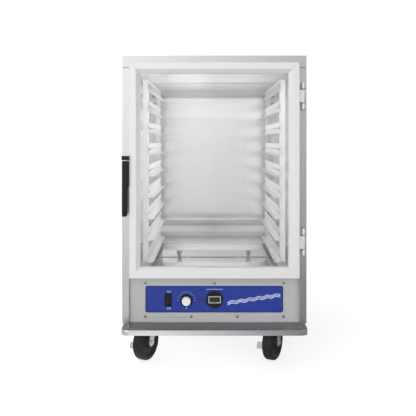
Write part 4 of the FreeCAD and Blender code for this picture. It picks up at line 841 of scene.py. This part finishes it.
# Studio, in metres: pale floor, soft lamps and surroundings brighter on the left and behind
def make_floor():
    """A round floor, white to the camera; reflections see its left and its near part brighter."""
    dim, pale = (0.16, 0.16, 0.16), (0.5, 0.5, 0.5)
    clear_selection()
    bpy.ops.mesh.primitive_circle_add(
        vertices=96, radius=5, fill_type="NGON", location=(0, 3, -0.0005),
    )
    floor = bpy.context.object
    floor.name = "studio_floor"
    material, tree, shader = new_finish("studio_floor", dim, 0.0, 0.9)
    shader.inputs["Specular IOR Level"].default_value = 0.0
    shader.inputs["Emission Color"].default_value = (1, 1, 1, 1)
    place = places(tree)
    rays = tree.nodes.new("ShaderNodeLightPath").outputs
    sideways = spread(tree, place["X"], 0.52, 0.06, -0.35, 0.36)
    nearby = spread(tree, place["Y"], 1.0, 1.55, -4.05, -3.85)
    corner = spread(tree, place["X"], 0.45, 1.0, -0.39, -0.30)
    beyond = spread(tree, place["Y"], 1.0, 0.0, -3.95, -3.87)
    dimmed = combine(tree, "MAXIMUM", corner, beyond)
    mirrored = combine(tree, "MULTIPLY", combine(tree, "MULTIPLY", sideways, nearby), dimmed)
    reflected = combine(tree, "MULTIPLY", rays["Is Glossy Ray"], mirrored)
    seen = spread(tree, rays["Is Camera Ray"], 0.0, 0.72, 0.0, 1.0)
    glow = combine(tree, "MAXIMUM", seen, reflected)
    tree.links.new(glow, shader.inputs["Emission Strength"])
    shade = add_ramp(tree, rays["Is Camera Ray"], 0.0, 1.0, dim, pale)
    tree.links.new(shade, shader.inputs["Base Color"])
    floor.data.materials.append(material)


def make_surroundings():
    """White to the camera; as light, brighter on the left and behind, dimmer below and overhead."""
    world = bpy.data.worlds.new("studio")
    bpy.context.scene.world = world
    world.use_nodes = True
    tree = world.node_tree
    background = tree.nodes["Background"]
    background.inputs["Color"].default_value = (1, 1, 1, 1)
    way = places(tree, "Generated")
    sideways = spread(tree, way["X"], 1.32, 0.30, -0.15, 0.25)
    upwards = spread(tree, way["Z"], 0.42, 1.0, -0.3, 0.1)
    behind = spread(tree, way["Y"], 0.0, 0.9, 0.25, 0.55)
    flank = spread(tree, way["X"], 0.58, 1.0, -0.9, -0.5)
    overhead = spread(tree, way["Z"], 1.0, 0.62, 0.3, 0.65)
    rays = tree.nodes.new("ShaderNodeLightPath").outputs
    seen = combine(tree, "MAXIMUM", rays["Is Camera Ray"], rays["Is Transmission Ray"])
    around = combine(tree, "MULTIPLY", combine(tree, "MAXIMUM", sideways, behind), flank)
    lit = combine(tree, "MULTIPLY", around, combine(tree, "MULTIPLY", upwards, overhead))
    tree.links.new(combine(tree, "MAXIMUM", seen, lit), background.inputs["Strength"])


def add_lamp(name, place, target, size, power, hidden=False):
    """A soft oblong lamp; a hidden one is seen by neither the camera nor reflections."""
    lamp = bpy.data.lights.new(name, "AREA")
    lamp.shape = "RECTANGLE"
    lamp.size, lamp.size_y = size
    lamp.energy = power
    holder = bpy.data.objects.new(name, lamp)
    holder.location = place
    holder.rotation_euler = (Vector(target) - Vector(place)).to_track_quat("-Z", "Y").to_euler()
    holder.visible_camera = holder.visible_glossy = not hidden
    bpy.context.scene.collection.objects.link(holder)


def make_camera():
    camera = bpy.data.cameras.new("camera")
    camera.sensor_width = SENSOR_WIDTH
    camera.lens = SENSOR_WIDTH * FOCAL_LENGTH / PHOTO_SIDE
    camera.shift_x, camera.shift_y = (shift / PHOTO_SIDE for shift in VIEW_SHIFT)
    camera.clip_start = 0.05
    holder = bpy.data.objects.new("camera", camera)
    holder.location = (-0.0182, -2.493, 0.785)
    holder.rotation_euler = (radians(90), 0, 0)
    bpy.context.scene.collection.objects.link(holder)
    bpy.context.scene.camera = holder


make_floor()
make_surroundings()
add_lamp("key_lamp", (-2.6, -3.0, 3.0), (0, 0, 0.6), (2.6, 2.6), 5)
add_lamp("front_lamp", (-0.7, -3.5, 1.0), (0, 0, 0.7), (2.4, 2.4), 57, hidden=True)
add_lamp("low_lamp", (1.3, -2.1, 0.3), (0, -0.39, 0.9), (1.3, 0.5), 19, hidden=True)
add_lamp("cavity_lamp_left", (0, -0.03, 0.70), (-1, -0.03, 0.70), (0.6, 0.5), 2.4, hidden=True)
add_lamp("cavity_lamp_up", (0, -0.03, 0.78), (0, -0.03, 2.0), (0.4, 0.6), 0.45, hidden=True)
add_lamp("cavity_lamp_right", (0, -0.03, 0.70), (1, -0.03, 0.70), (0.6, 0.5), 0.7, hidden=True)
make_camera()
bpy.context.scene.view_settings.view_transform = "Standard"
